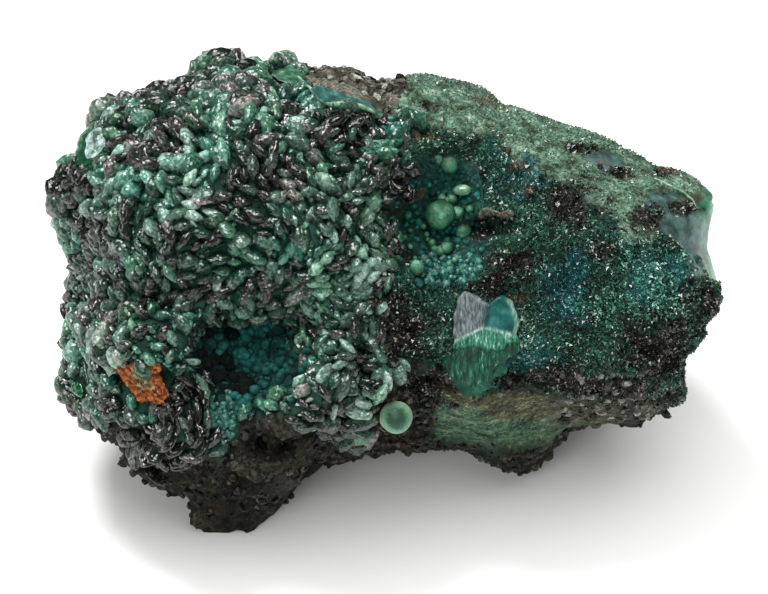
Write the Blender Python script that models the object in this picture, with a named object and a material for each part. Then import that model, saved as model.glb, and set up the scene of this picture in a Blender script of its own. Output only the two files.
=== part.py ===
"""Chrysocolla specimen: a broken lump of dark rock crusted with blue-green chrysocolla.

The rock is one solid with its blades, lumps, ledges and pits grown on it, and the
botryoidal malachite that lines its pocket is a second one. Two frames are used.
The standing frame is +Z up with the rock resting on z = 0. The face frame looks straight
at the crystal face: a runs right, b up and c outwards, from the middle of the rock, and
it leans back by FACE_LEAN. Lengths are millimetres until a mesh is written, in metres.
"""

from itertools import product
from math import cos, pi, radians, sin

import bmesh
import bpy
import numpy as np
from mathutils import Matrix, Vector
from mathutils.bvhtree import BVHTree

MM = 0.001

# Driving dimensions, in millimetres unless the name says otherwise.
FACE_LEAN = radians(42)         # the crystal face leans back this far from upright
REST_LEVEL = -28.0              # the broken base, measured from the middle of the rock
BASE_MIDDLE = (-0.5, -0.3)      # of the whole specimen's box, which is moved to x = y = 0
HALF_SPANS = (45.0, 30.0, 24.0) # of the ellipsoid that spreads points evenly over it
FACE_SHARE = 8.0                # how far it is drawn forward, to put more points in front
SOFTNESS = 11                   # power of the mean that rounds the corners between walls
RIM_BAND = 0.30                 # the rim's notches fade out this far in front and behind
RIM_BLUR = radians(14)          # what is left of the rim away from it
ROCK_CELLS = 18                 # along each side of the cube that it is blown up from
CHIP_COUNT = 90                 # flat breaks all round the rock, none on the crystals
CHIP_SHARPNESS = 40             # power of the mean that cuts them into the rock
BLADE_COUNT = 250               # seats tried all round the rock; under half hold a blade
BLADE_SIZE = (4.6, 3.6, 2.2)    # long, tall and thick
BLADE_SINK = 0.38               # share of a blade's height that is under the crust
BLADE_RUGGED = 1.9              # how unevenly the crust stands up between the blades
DRUSE_RUGGED = 0.8              # and on the druse to the right of them
CRUST_GAP = 0.5                 # the pocket's lining stands this clear of the rock
CRUST_THICKNESS = 1.0

# The rim of the rock, seen along c: points (a, b) in order, starting at the right end.
RIM = [
    (46.3, 10.5), (45.4, 7.0), (44.5, 4.2), (45.9, 0.0), (45.6, -3.6), (43.3, -7.2),
    (41.6, -11.2), (41.2, -14.8), (39.0, -18.4), (35.0, -19.9), (29.7, -20.2),
    (26.0, -21.4), (23.4, -24.1), (21.3, -26.9), (18.5, -27.9), (15.0, -26.6),
    (11.5, -24.9), (7.3, -23.9), (1.7, -23.4), (-3.9, -25.5), (-8.8, -26.9),
    (-12.3, -28.2), (-14.2, -31.2), (-18.0, -34.6), (-21.0, -36.5), (-24.2, -35.7),
    (-27.0, -33.6), (-29.1, -31.2), (-32.6, -29.7), (-35.7, -26.9), (-36.8, -23.4),
    (-40.7, -21.3), (-43.1, -18.5), (-45.1, -16.1), (-45.9, -9.8), (-45.1, -5.6),
    (-43.4, -3.6), (-44.0, -0.7), (-44.4, 4.2), (-45.9, 11.2), (-43.9, 17.0),
    (-41.7, 21.7), (-38.2, 24.5), (-34.0, 26.3), (-30.8, 27.0), (-27.7, 29.4),
    (-24.2, 31.9), (-20.7, 31.2), (-18.3, 28.8), (-15.8, 30.4), (-12.3, 30.1),
    (-6.0, 30.7), (-1.8, 28.8), (4.5, 29.4), (13.2, 27.7), (16.4, 25.2),
    (24.1, 22.1), (29.7, 21.0), (33.2, 18.9), (38.1, 16.4), (42.3, 15.1), (44.8, 12.9),
]

# Walls that the rock broke along: outward normal (a, b, c) and distance from the middle.
FACE_WALLS = [
    ((0.00, -0.10, 1.00), 17.5),    # crystal face
    ((0.25, 0.65, 0.72), 23.0),     # slope above the druse
    ((0.85, 0.10, 0.50), 40.0),     # glassy right end
    ((0.10, -0.85, 0.50), 22.4),    # smooth break under the druse
    ((0.25, -0.80, 0.55), 25.0),    # rough break, lower left
    ((-0.75, 0.10, 0.65), 33.0),    # left flank
    ((-0.30, 0.75, 0.60), 29.5),    # left shoulder
]
# The walls behind stand upright or lean, so their normals are standing ones.
BACK_WALLS = [
    ((0.00, 1.00, 0.05), 29.0),
    ((-0.60, 0.80, 0.00), 37.0),
    ((0.62, 0.78, 0.10), 37.5),
    ((0.10, 0.62, 0.78), 31.5),
    ((-0.95, 0.15, -0.25), 42.0),
    ((0.93, 0.10, -0.35), 42.0),
]

# Relief on the crystal face: (a, b), half-widths along a and b, and height along c.
MOUNDS = [
    ((-41.0, -9.8), (4.8, 5.6), 2.6),       # clump of upright blades, far left
    ((-31.0, -9.0), (6.0, 5.0), 2.6),
    ((-31.2, -22.4), (6.4, 6.0), 3.6),      # dark clump over the foot
    ((-5.3, -16.2), (7.6, 4.8), 3.8),       # fan of plates in the middle
    ((-24.2, 27.0), (4.6, 4.2), 2.2),
    ((-6.5, 21.5), (6.4, 3.6), 2.4),
    ((1.6, 13.6), (3.4, 3.6), 2.6),
    ((-39.0, 12.6), (5.6, 4.6), 2.0),
    ((-19.3, 15.4), (7.8, 6.6), 2.0),
    ((-27.6, 3.2), (7.4, 5.8), 2.2),
    ((-10.5, 6.4), (7.0, 5.6), 2.0),
    ((25.5, 10.6), (7.4, 4.8), 1.8),        # black mound above the druse
    ((15.4, 1.2), (3.4, 2.4), 1.8),
    ((13.8, -6.4), (4.2, 4.2), 2.0),        # glassy window
    ((35.6, -14.2), (5.2, 4.2), 2.4),
    ((29.6, -12.0), (3.0, 2.4), 1.6),
    ((38.4, -5.6), (3.2, 3.0), 1.8),
    ((19.6, 17.0), (4.4, 2.2), 1.6),        # knobbly crest, down to the right end
    ((27.4, 11.6), (3.6, 2.4), 1.6),
    ((33.4, 6.4), (3.4, 2.6), 1.8),
    ((38.8, 1.4), (3.0, 2.6), 1.6),
    ((12.6, 22.2), (5.0, 2.0), 1.0),
]
PITS = [
    ((8.2, 8.0), (6.6, 9.0), 6.4),          # pocket lined with malachite
    ((-19.2, -10.2), (6.4, 6.2), 7.0),      # velvety hollow
    ((-12.2, -4.4), (4.6, 2.6), 3.0),
    ((-23.0, -25.0), (1.8, 7.0), 2.2),
    ((-12.0, -22.6), (6.8, 2.4), 4.6),      # cave under the lip
    ((-36.0, -3.4), (7.0, 1.5), 2.4),
    ((6.8, 24.4), (2.4, 1.6), 1.8),
    ((27.6, 18.6), (2.2, 1.4), 1.4),
    ((33.4, 13.6), (2.6, 1.4), 1.4),
    ((41.6, 10.2), (2.6, 1.4), 1.0),
    ((19.6, -1.2), (6.0, 2.2), 1.2),
    ((4.0, -12.0), (5.0, 1.6), 1.6),
]

# Malachite balls in the pocket: (a, b) and radius.
BALLS = [
    ((7.6, 9.3), 2.5), ((10.6, 9.9), 1.4), ((11.2, 7.0), 1.4), ((10.6, 12.8), 1.5),
    ((8.6, 15.8), 1.3), ((5.0, 6.6), 1.1), ((8.4, 4.6), 1.3), ((5.2, 2.4), 1.3),
    ((9.8, 2.2), 1.2),
]
POCKET = (8.3, 8.8)                         # middle of the pocket on the crystal face
POCKET_SPANS = (6.3, 8.8, 12.0)             # half-widths of its lining, a, b and c

# Plates stacked in rows: first and last (a, b), first and last heading, plates, length.
FANS = [
    ((-44.0, -9.4), (-36.2, -11.4), 84, 100, 6, 4.6),
    ((-33.8, -8.0), (-28.4, -10.2), 60, 112, 5, 4.8),
    ((-33.0, -18.4), (-29.6, -28.6), 8, -24, 7, 6.4),
    ((-10.8, -13.8), (0.4, -12.6), 128, 56, 7, 5.0),
    ((-11.4, -18.2), (-3.6, -18.6), 140, 74, 5, 4.2),
    ((-9.6, 20.6), (-3.4, 22.6), 20, 70, 4, 4.4),
    ((0.2, 11.8), (3.4, 15.2), -30, 30, 4, 4.0),
]
PLATE_SHAPE = (1.0, 0.80, 0.34)             # long, tall and thick, over its length

# Lone lumps: (a, b), half-sizes along a heading, across it and outwards, heading, sink.
LUMPS = [
    ((1.0, -18.6), (2.35, 2.35, 2.35), 0, -0.55),     # round malachite ball on the lip
    ((-34.0, -14.2), (3.4, 2.5, 1.4), -6, -0.35),     # scab of iron oxide
    ((-41.4, 18.8), (3.8, 1.5, 2.2), 62, -0.2),       # see-through blades, left edge
    ((-42.8, -14.6), (3.0, 1.6, 1.6), -28, -0.2),
    ((-10.6, 27.4), (6.6, 1.5, 1.9), -24, -0.2),      # glassy rib over the top
    ((-1.0, 23.8), (5.2, 1.4, 1.7), -17, -0.2),
    ((-4.4, 29.2), (3.6, 2.2, 1.5), 8, 0.2),          # knobbly rock behind the rib
    ((-15.8, -29.4), (3.0, 2.6, 2.2), 20, 0.2),       # knob under the foot
]
WINDOW = ((13.7, -5.8), (9.4, 4.4, 8.8), 82)        # glassy lump with two flat facets


# --- small tools ------------------------------------------------------------------


def scatter(index, stream):
    """A fixed number from 0 to 1 for each index, different for each stream."""
    wave = np.sin(np.asarray(index, float) * 12.9898 + stream * 78.233) * 43758.5453
    return wave - np.floor(wave)


def noise(points, size, seed=0):
    """Smooth noise from -1 to 1: random values on a lattice of that size, blended."""
    lattice = points / size
    cell = np.floor(lattice)
    share = lattice - cell
    share = share * share * (3 - 2 * share)
    total = np.zeros(len(points))
    for corner in product((0, 1), repeat=3):
        weight = np.prod(np.where(corner, share, 1 - share), axis=1)
        total += weight * scatter((cell + corner) @ (1.0, 57.31, 113.97), seed)
    return 2 * total - 1


def unit(vectors):
    vectors = np.atleast_2d(np.asarray(vectors, float))
    return vectors / np.linalg.norm(vectors, axis=1, keepdims=True)


def to_standing(points):
    """Face frame to standing frame: turned back by the lean, and set over the base."""
    a, b, c = np.atleast_2d(points).T
    y = b * sin(FACE_LEAN) - c * cos(FACE_LEAN)
    z = b * cos(FACE_LEAN) + c * sin(FACE_LEAN)
    return np.column_stack([a - BASE_MIDDLE[0], y - BASE_MIDDLE[1], z - REST_LEVEL])


def normal_to_face(normal):
    """A direction of the standing frame as one of the face frame."""
    x, y, z = normal
    b = y * sin(FACE_LEAN) + z * cos(FACE_LEAN)
    c = z * sin(FACE_LEAN) - y * cos(FACE_LEAN)
    return x, b, c


def even_directions(count):
    """Directions spread evenly over an ellipsoid of the rock's proportions."""
    index = np.arange(count) + 0.5
    height = 1 - 2 * index / count
    turn = index * pi * (3 - 5 ** 0.5)
    flat = np.sqrt(1 - height ** 2)
    ball = np.column_stack([height, flat * np.cos(turn), flat * np.sin(turn)])
    return unit(ball * HALF_SPANS)


# --- the shape of the rock --------------------------------------------------------


def blade_cover(points):
    """1 where blades grow, on the left of the face and over its edges, 0 elsewhere."""
    a, b, c = points.T
    edge = 1.0 + 0.10 * b + 1.5 * np.sin(b * 0.35)
    left = np.clip((edge - a) / 2.5, 0, 1)
    above_break = np.clip((b + 0.35 * (a + 21) + 27) / 3, 0, 1)
    front = np.clip((c + 14) / 6, 0, 1)
    velvet = np.hypot((a + 19.2) / 5.4, (b + 10.4) / 5.4)
    return left * above_break * front * np.clip((velvet - 0.8) / 0.3, 0, 1)


def druse_cover(points):
    """1 on the druse at the right of the face and on the slope above it, 0 elsewhere."""
    a, b, c = points.T
    right = np.clip((a - 12.0) / 3.0, 0, 1) * np.clip((c + 4.0) / 6.0, 0, 1)
    return right * np.clip((b + 0.15 * (a - 20) + 15.0) / 2.5, 0, 1)


def rim_radius(angle):
    """Distance from the middle to the rim, by the angle round c; closed and linear."""
    rim = np.array(RIM)
    reach = np.hypot(*rim.T)
    # blades stand past the rock, so the rock itself stays inside the rim there
    reach = reach - 1.3 * blade_cover(np.column_stack([rim, np.zeros(len(rim))]))
    return np.interp(angle, np.arctan2(rim[:, 1], rim[:, 0]), reach, period=2 * pi)


def blurred_rim(angle):
    """The rim without its notches: the mean of nearby angles under a bell curve."""
    offsets = np.linspace(-2, 2, 17)
    weights = np.exp(-(offsets ** 2))
    total = sum(w * rim_radius(angle + RIM_BLUR * o) for w, o in zip(weights, offsets))
    return total / weights.sum()


def walled_radius(directions):
    """How far each direction runs before it meets the rim's cylinder or a wall.

    The reciprocals of the distances are added as a power mean, which rounds the
    corners where two of them meet.
    """
    angle = np.arctan2(directions[:, 1], directions[:, 0])
    across = np.hypot(directions[:, 0], directions[:, 1])
    near_rim = np.exp(-((directions[:, 2] / RIM_BAND) ** 2))
    reach = near_rim * rim_radius(angle) + (1 - near_rim) * blurred_rim(angle)
    total = (across / reach) ** SOFTNESS
    behind = [(normal_to_face(normal), distance) for normal, distance in BACK_WALLS]
    for normal, distance in FACE_WALLS + behind:
        facing = np.clip(directions @ unit(normal)[0], 0, None)
        total += (facing / distance) ** SOFTNESS
    return total ** (-1 / SOFTNESS)


def chipped_radius(directions):
    """The walled radius with small flat breaks cut into it by more, sharper walls."""
    radius = walled_radius(directions)
    normals = even_directions(CHIP_COUNT)
    index = np.arange(CHIP_COUNT)
    normals = unit(normals + 0.25 * np.column_stack([
        scatter(index, 21), scatter(index, 22), scatter(index, 23)
    ]) - 0.125)
    depth = 0.86 + 0.09 * scatter(index, 24)
    distance = walled_radius(normals) * np.where(normals[:, 2] > -0.35, 9, depth)
    facing = np.clip(directions @ normals.T, 0, None)
    chips = ((facing * radius[:, None] / distance) ** CHIP_SHARPNESS).sum(axis=1)
    return radius * (1 + chips) ** (-1 / CHIP_SHARPNESS)


def rim_correction():
    """The factor, by angle, that makes the widest point above the base meet the rim."""
    angles = np.linspace(-pi, pi, 361)
    tilt = np.linspace(radians(40), radians(140), 41)
    grid_angle, grid_tilt = (g.ravel() for g in np.meshgrid(angles, tilt, indexing="ij"))
    directions = np.column_stack([
        np.sin(grid_tilt) * np.cos(grid_angle),
        np.sin(grid_tilt) * np.sin(grid_angle),
        np.cos(grid_tilt),
    ])
    points = directions * chipped_radius(directions)[:, None]
    across = np.hypot(points[:, 0], points[:, 1])
    across[to_standing(points)[:, 2] < 1.0] = 0
    widest = across.reshape(len(angles), -1).max(axis=1)
    return angles, rim_radius(angles) / np.maximum(widest, 1.0)


def domes(a, b, features):
    """Sum of round-topped domes: each falls from its height to 0 as a bell curve."""
    total = np.zeros_like(a)
    for (at_a, at_b), (half_a, half_b), height in features:
        away = ((a - at_a) / half_a) ** 2 + ((b - at_b) / half_b) ** 2
        total += height * np.exp(-(away ** 1.5))
    return total


def rock_points(directions, correction, lift=0.0):
    """Surface of the rock in the face frame, for unit directions from its middle."""
    angle = np.arctan2(directions[:, 1], directions[:, 0])
    radius = chipped_radius(directions) * np.interp(angle, *correction)
    points = directions * (radius + lift)[:, None]
    rough = 0.75 * noise(points, 9.0, 1) + 0.4 * noise(points, 4.0, 2)
    behind = np.clip(-directions[:, 2] * 1.5, 0, 1)
    rough += behind * (1.2 * noise(points, 13.0, 3) + 0.7 * noise(points, 5.0, 4))
    rough += BLADE_RUGGED * blade_cover(points) * noise(points, 1.7, 5)
    rough += DRUSE_RUGGED * druse_cover(points) * noise(points, 2.6, 6)
    points += directions * rough[:, None]
    front = np.clip(directions[:, 2] * 2.2, 0, 1)
    a, b = points[:, 0], points[:, 1]
    points[:, 2] += front * (domes(a, b, MOUNDS) - domes(a, b, PITS))
    return points


# --- meshes -----------------------------------------------------------------------


def material(name, colour, roughness):
    made = bpy.data.materials.new(name)
    made.use_nodes = True
    shader = made.node_tree.nodes["Principled BSDF"]
    shader.inputs["Base Color"].default_value = (*colour, 1)
    shader.inputs["Roughness"].default_value = roughness
    return made


def icosphere(name, divisions, spans):
    """An icosphere drawn out to half-sizes along x, y and z."""
    mesh = bpy.data.meshes.new(name)
    shape = bmesh.new()
    bmesh.ops.create_icosphere(shape, subdivisions=divisions, radius=MM)
    bmesh.ops.scale(shape, vec=spans, verts=shape.verts)
    shape.to_mesh(mesh)
    shape.free()
    return mesh


def blade_mesh(name, size):
    """A blade on edge: a block whose top is drawn in to a short ridge, like a roof."""
    mesh = bpy.data.meshes.new(name)
    shape = bmesh.new()
    bmesh.ops.create_cube(shape, size=1)
    ridge = [vertex for vertex in shape.verts if vertex.co.z > 0]
    bmesh.ops.scale(shape, vec=(0.45, 0, 1), verts=ridge)
    bmesh.ops.remove_doubles(shape, verts=ridge, dist=0.01)
    long, tall, thick = np.multiply(size, MM)
    bmesh.ops.scale(shape, vec=(long, thick, tall), verts=shape.verts)
    shape.to_mesh(mesh)
    shape.free()
    return mesh


def rock_object(name, collection, correction, lift=0.0):
    """A cube in cells, blown up and drawn out like the rock, then moved to its surface."""
    mesh = bpy.data.meshes.new(name)
    shape = bmesh.new()
    bmesh.ops.create_cube(shape, size=2)
    bmesh.ops.subdivide_edges(
        shape, edges=shape.edges, cuts=ROCK_CELLS - 1, use_grid_fill=True
    )
    bmesh.ops.triangulate(shape, faces=shape.faces)
    shape.to_mesh(mesh)
    shape.free()
    cube = np.empty(len(mesh.vertices) * 3, np.float32)
    mesh.vertices.foreach_get("co", cube)
    sphere = unit(np.tan(cube.reshape(-1, 3) * pi / 4))
    spread = sphere * HALF_SPANS + (0, 0, FACE_SHARE)
    points = to_standing(rock_points(unit(spread), correction, lift))
    mesh.vertices.foreach_set("co", (points * MM).astype(np.float32).ravel())
    mesh.update()
    made = bpy.data.objects.new(name, mesh)
    collection.objects.link(made)
    return made


def cut_level(rock):
    """Cuts the rock off flat at z = 0, where it was broken from the bed it grew on."""
    shape = bmesh.new()
    shape.from_mesh(rock.data)
    cut = bmesh.ops.bisect_plane(
        shape,
        geom=shape.verts[:] + shape.edges[:] + shape.faces[:],
        plane_co=(0, 0, 0),
        plane_no=(0, 0, -1),
        clear_outer=True,
    )
    edges = [item for item in cut["geom_cut"] if isinstance(item, bmesh.types.BMEdge)]
    bmesh.ops.holes_fill(shape, edges=edges, sides=0)
    bmesh.ops.recalc_face_normals(shape, faces=shape.faces[:])
    shape.to_mesh(rock.data)
    shape.free()


# --- what grows on the rock -------------------------------------------------------


def place_of(point):
    """A point of the face frame as a place in the standing frame, in metres."""
    return Vector(to_standing(point)[0]) * MM


def heading_of(direction):
    """A direction of the face frame as one of the standing frame."""
    return (place_of(direction) - place_of((0, 0, 0))) / MM


def surface_of(rock):
    return BVHTree.FromPolygons(
        [vertex.co for vertex in rock.data.vertices],
        [face.vertices for face in rock.data.polygons],
    )


def seat_outward(surface, direction):
    """Where a line from the middle leaves the rock, and the way out there."""
    return surface.ray_cast(place_of((0, 0, 0)), heading_of(direction))[:2]


def seat_in_front(surface, a, b):
    """Where a line straight at the crystal face meets the rock, and the way out.

    A line that passes just outside the rim takes the nearest point of the rim.
    """
    place, up = surface.ray_cast(place_of((a, b, 60)), heading_of((0, 0, -1)))[:2]
    if place is None:
        place, up = surface.find_nearest(place_of((a, b, 4)))[:2]
    return place, up


def grow(collection, mesh, seat, turn, raised, size=1.0):
    """Seats a mesh on the rock: X turned by an angle on the crystal face, Z outwards."""
    place, up = seat
    heading = heading_of((cos(turn), sin(turn), 0))
    along = (heading - up * heading.dot(up)).normalized()
    turned = Matrix((along, up.cross(along), up)).transposed().to_4x4()
    turned.translation = place + up * raised * MM
    piece = bpy.data.objects.new(mesh.name, mesh)
    piece.matrix_world = turned @ Matrix.Scale(size, 4)
    piece.hide_render = True
    piece.display_type = "WIRE"
    collection.objects.link(piece)


def grow_blades(collection, surface):
    """Blades on even seats over the left of the rock, turned alike in each clump."""
    mesh = blade_mesh("blade", BLADE_SIZE)
    directions = even_directions(BLADE_COUNT)
    for index, direction in enumerate(directions):
        place, up = seat_outward(surface, direction)
        at = direction * (place - place_of((0, 0, 0))).length / MM
        if blade_cover(at[None])[0] < 0.5 or place.z < 3 * MM:
            continue
        turn = 2.2 * pi * noise(at[None], 11.0, 7)[0] + 0.9 * scatter(index, 5)
        size = 0.75 + 0.5 * scatter(index, 6)
        raised = BLADE_SIZE[1] * size * (0.5 - BLADE_SINK)
        grow(collection, mesh, (place, up), turn, raised, size)


def grow_fans(collection, surface):
    """Rows of plates that stand side by side and turn a little from one to the next."""
    for first, last, first_turn, last_turn, count, length in FANS:
        mesh = blade_mesh("plate", np.multiply(PLATE_SHAPE, length))
        for step in np.linspace(0, 1, count):
            a, b = np.array(first) * (1 - step) + np.array(last) * step
            turn = radians(first_turn * (1 - step) + last_turn * step)
            raised = length * PLATE_SHAPE[1] * 0.2
            grow(collection, mesh, seat_in_front(surface, a, b), turn, raised)


def grow_lumps(collection, surface):
    for (a, b), spans, turn, raised in LUMPS:
        mesh = icosphere("lump", 2, spans)
        grow(collection, mesh, seat_in_front(surface, a, b), radians(turn), raised)


def grow_window(collection, surface):
    (a, b), size, turn = WINDOW
    mesh = blade_mesh("window", size)
    grow(collection, mesh, seat_in_front(surface, a, b), radians(turn), 0)


def grow_balls(collection, surface):
    """Balls of malachite, each half sunk in the lining of the pocket."""
    for (a, b), radius in BALLS:
        mesh = icosphere("ball", 2, (radius, radius, radius))
        raised = CRUST_GAP + 0.5 * CRUST_THICKNESS + 0.2 * max(radius - 1.3, 0)
        grow(collection, mesh, seat_in_front(surface, a, b), 0, raised)


def combine(target, operation, operand):
    """Adds an exact Boolean with an object or with all the objects of a collection."""
    modifier = target.modifiers.new(operation.lower(), "BOOLEAN")
    modifier.operation = operation
    modifier.solver = "EXACT"
    modifier.use_self = True
    if isinstance(operand, bpy.types.Collection):
        modifier.operand_type = "COLLECTION"
        modifier.collection = operand
    else:
        modifier.object = operand


def line_pocket(specimen, cutters, balls, correction):
    """The malachite that lines the pocket: a shell that keeps clear of the rock."""
    mesh = icosphere("pocket_crust", 3, POCKET_SPANS)
    crust = bpy.data.objects.new("pocket_crust", mesh)
    crust.matrix_world = Matrix.Translation(place_of((*POCKET, 12)))
    crust.matrix_world @= Matrix.Rotation(radians(90) - FACE_LEAN, 4, "X")
    specimen.objects.link(crust)
    outer = rock_object("crust_front", cutters, correction, CRUST_GAP + CRUST_THICKNESS)
    inner = rock_object("crust_back", cutters, correction, CRUST_GAP)
    combine(crust, "INTERSECT", outer)
    combine(crust, "UNION", balls)
    combine(crust, "DIFFERENCE", inner)
    for cutter in (outer, inner):
        cutter.hide_render = True
        cutter.display_type = "WIRE"
    return crust


def main():
    for old in list(bpy.data.objects):
        bpy.data.objects.remove(old)
    scene = bpy.context.scene.collection
    names = ("chrysocolla_specimen", "growths", "balls", "cutters")
    specimen, growths, balls, cutters = [bpy.data.collections.new(n) for n in names]
    for collection in (specimen, growths, balls, cutters):
        scene.children.link(collection)

    correction = rim_correction()
    rock = rock_object("rock", specimen, correction)
    surface = surface_of(rock)
    cut_level(rock)
    grow_blades(growths, surface)
    grow_fans(growths, surface)
    grow_lumps(growths, surface)
    grow_window(growths, surface)
    combine(rock, "UNION", growths)
    rock.data.materials.append(material("chrysocolla crust", (0.06, 0.16, 0.13), 0.45))

    grow_balls(balls, surface)
    crust = line_pocket(specimen, cutters, balls, correction)
    crust.data.materials.append(material("malachite", (0.13, 0.33, 0.24), 0.4))


main()
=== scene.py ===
"""Chrysocolla specimen: the finish of every surface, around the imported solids.

Two frames are used, as on the solids. The standing frame is +Z up with the rock resting
on z = 0. The face frame looks straight at the crystal face: a runs right, b up and c
outwards, from the middle of the rock. Lengths are millimetres until a mesh is written.
"""

from itertools import product
from math import cos, pi, radians, sin

import bmesh
import bpy
import numpy as np
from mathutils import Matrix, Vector


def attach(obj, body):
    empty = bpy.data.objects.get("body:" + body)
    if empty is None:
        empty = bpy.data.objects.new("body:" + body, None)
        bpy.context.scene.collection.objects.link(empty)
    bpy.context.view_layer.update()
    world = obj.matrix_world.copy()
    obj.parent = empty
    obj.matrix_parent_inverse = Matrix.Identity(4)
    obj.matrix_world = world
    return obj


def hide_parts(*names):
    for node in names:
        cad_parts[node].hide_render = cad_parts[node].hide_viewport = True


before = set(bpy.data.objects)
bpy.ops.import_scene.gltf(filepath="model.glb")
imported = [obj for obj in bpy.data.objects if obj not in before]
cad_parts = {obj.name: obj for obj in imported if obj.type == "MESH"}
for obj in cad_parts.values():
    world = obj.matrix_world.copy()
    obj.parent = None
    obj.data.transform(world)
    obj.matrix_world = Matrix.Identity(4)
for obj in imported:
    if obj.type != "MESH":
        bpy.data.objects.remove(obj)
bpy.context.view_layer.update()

MM = 0.001

# The rock's own dimensions, the same as on the solids.
FACE_LEAN = radians(42)         # the crystal face leans back this far from upright
REST_LEVEL = -28.0              # the broken base, measured from the middle of the rock
BASE_MIDDLE = (-0.5, -0.3)      # of the whole specimen's box, which is at x = y = 0
BARE_HOLLOW = ((-19.2, -10.4), (5.4, 5.4))      # the blades end round it
HALF_SPANS = (45.0, 30.0, 24.0) # of the ellipsoid that spreads points evenly over it
FACE_SHARE = 8.0                # how far it is drawn forward, to put more points in front
SOFTNESS = 11                   # power of the mean that rounds the corners between walls
RIM_BAND = 0.30                 # the rim's notches fade out this far in front and behind
RIM_BLUR = radians(14)          # what is left of the rim away from it
CHIP_COUNT = 90                 # flat breaks all round the rock, none on the crystals
CHIP_SHARPNESS = 40             # power of the mean that cuts them into the rock

RIM = [
    (46.3, 10.5), (45.4, 7.0), (44.5, 4.2), (45.9, 0.0), (45.6, -3.6), (43.3, -7.2),
    (41.6, -11.2), (41.2, -14.8), (39.0, -18.4), (35.0, -19.9), (29.7, -20.2),
    (26.0, -21.4), (23.4, -24.1), (21.3, -26.9), (18.5, -27.9), (15.0, -26.6),
    (11.5, -24.9), (7.3, -23.9), (1.7, -23.4), (-3.9, -25.5), (-8.8, -26.9),
    (-12.3, -28.2), (-14.2, -31.2), (-18.0, -34.6), (-21.0, -36.5), (-24.2, -35.7),
    (-27.0, -33.6), (-29.1, -31.2), (-32.6, -29.7), (-35.7, -26.9), (-36.8, -23.4),
    (-40.7, -21.3), (-43.1, -18.5), (-45.1, -16.1), (-45.9, -9.8), (-45.1, -5.6),
    (-43.4, -3.6), (-44.0, -0.7), (-44.4, 4.2), (-45.9, 11.2), (-43.9, 17.0),
    (-41.7, 21.7), (-38.2, 24.5), (-34.0, 26.3), (-30.8, 27.0), (-27.7, 29.4),
    (-24.2, 31.9), (-20.7, 31.2), (-18.3, 28.8), (-15.8, 30.4), (-12.3, 30.1),
    (-6.0, 30.7), (-1.8, 28.8), (4.5, 29.4), (13.2, 27.7), (16.4, 25.2),
    (24.1, 22.1), (29.7, 21.0), (33.2, 18.9), (38.1, 16.4), (42.3, 15.1), (44.8, 12.9),
]

# Walls that the rock broke along: outward normal (a, b, c) and distance from the middle.
FACE_WALLS = [
    ((0.00, -0.10, 1.00), 17.5),    # crystal face
    ((0.25, 0.65, 0.72), 23.0),     # slope above the druse
    ((0.85, 0.10, 0.50), 40.0),     # glassy right end
    ((0.10, -0.85, 0.50), 22.4),    # smooth break under the druse
    ((0.25, -0.80, 0.55), 25.0),    # rough break, lower left
    ((-0.75, 0.10, 0.65), 33.0),    # left flank
    ((-0.30, 0.75, 0.60), 29.5),    # left shoulder
]
# The walls behind stand upright or lean, so their normals are standing ones.
BACK_WALLS = [
    ((0.00, 1.00, 0.05), 29.0),
    ((-0.60, 0.80, 0.00), 37.0),
    ((0.62, 0.78, 0.10), 37.5),
    ((0.10, 0.62, 0.78), 31.5),
    ((-0.95, 0.15, -0.25), 42.0),
    ((0.93, 0.10, -0.35), 42.0),
]

# Relief on the crystal face: (a, b), half-widths along a and b, and height along c.
MOUNDS = [
    ((-41.0, -9.8), (4.8, 5.6), 2.6),       # clump of upright blades, far left
    ((-31.0, -9.0), (6.0, 5.0), 2.6),
    ((-31.2, -22.4), (6.4, 6.0), 3.6),      # dark clump over the foot
    ((-5.3, -16.2), (7.6, 4.8), 3.8),       # fan of plates in the middle
    ((-24.2, 27.0), (4.6, 4.2), 2.2),
    ((-6.5, 21.5), (6.4, 3.6), 2.4),
    ((1.6, 13.6), (3.4, 3.6), 2.6),
    ((-39.0, 12.6), (5.6, 4.6), 2.0),
    ((-19.3, 15.4), (7.8, 6.6), 2.0),
    ((-27.6, 3.2), (7.4, 5.8), 2.2),
    ((-10.5, 6.4), (7.0, 5.6), 2.0),
    ((25.5, 10.6), (7.4, 4.8), 1.8),        # black mound above the druse
    ((15.4, 1.2), (3.4, 2.4), 1.8),
    ((13.8, -6.4), (4.2, 4.2), 2.0),        # glassy window
    ((35.6, -14.2), (5.2, 4.2), 2.4),
    ((29.6, -12.0), (3.0, 2.4), 1.6),
    ((38.4, -5.6), (3.2, 3.0), 1.8),
    ((19.6, 17.0), (4.4, 2.2), 1.6),        # knobbly crest, down to the right end
    ((27.4, 11.6), (3.6, 2.4), 1.6),
    ((33.4, 6.4), (3.4, 2.6), 1.8),
    ((38.8, 1.4), (3.0, 2.6), 1.6),
    ((12.6, 22.2), (5.0, 2.0), 1.0),
]
PITS = [
    ((8.2, 8.0), (6.6, 9.0), 6.4),          # pocket lined with malachite
    ((-19.2, -10.2), (6.4, 6.2), 7.0),      # velvety hollow
    ((-12.2, -4.4), (4.6, 2.6), 3.0),
    ((-23.0, -25.0), (1.8, 7.0), 2.2),
    ((-12.0, -22.6), (6.8, 2.4), 4.6),      # cave under the lip
    ((-36.0, -3.4), (7.0, 1.5), 2.4),
    ((6.8, 24.4), (2.4, 1.6), 1.8),
    ((27.6, 18.6), (2.2, 1.4), 1.4),
    ((33.4, 13.6), (2.6, 1.4), 1.4),
    ((41.6, 10.2), (2.6, 1.4), 1.0),
    ((19.6, -1.2), (6.0, 2.2), 1.2),
    ((4.0, -12.0), (5.0, 1.6), 1.6),
]


# --- small tools ------------------------------------------------------------------


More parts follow.
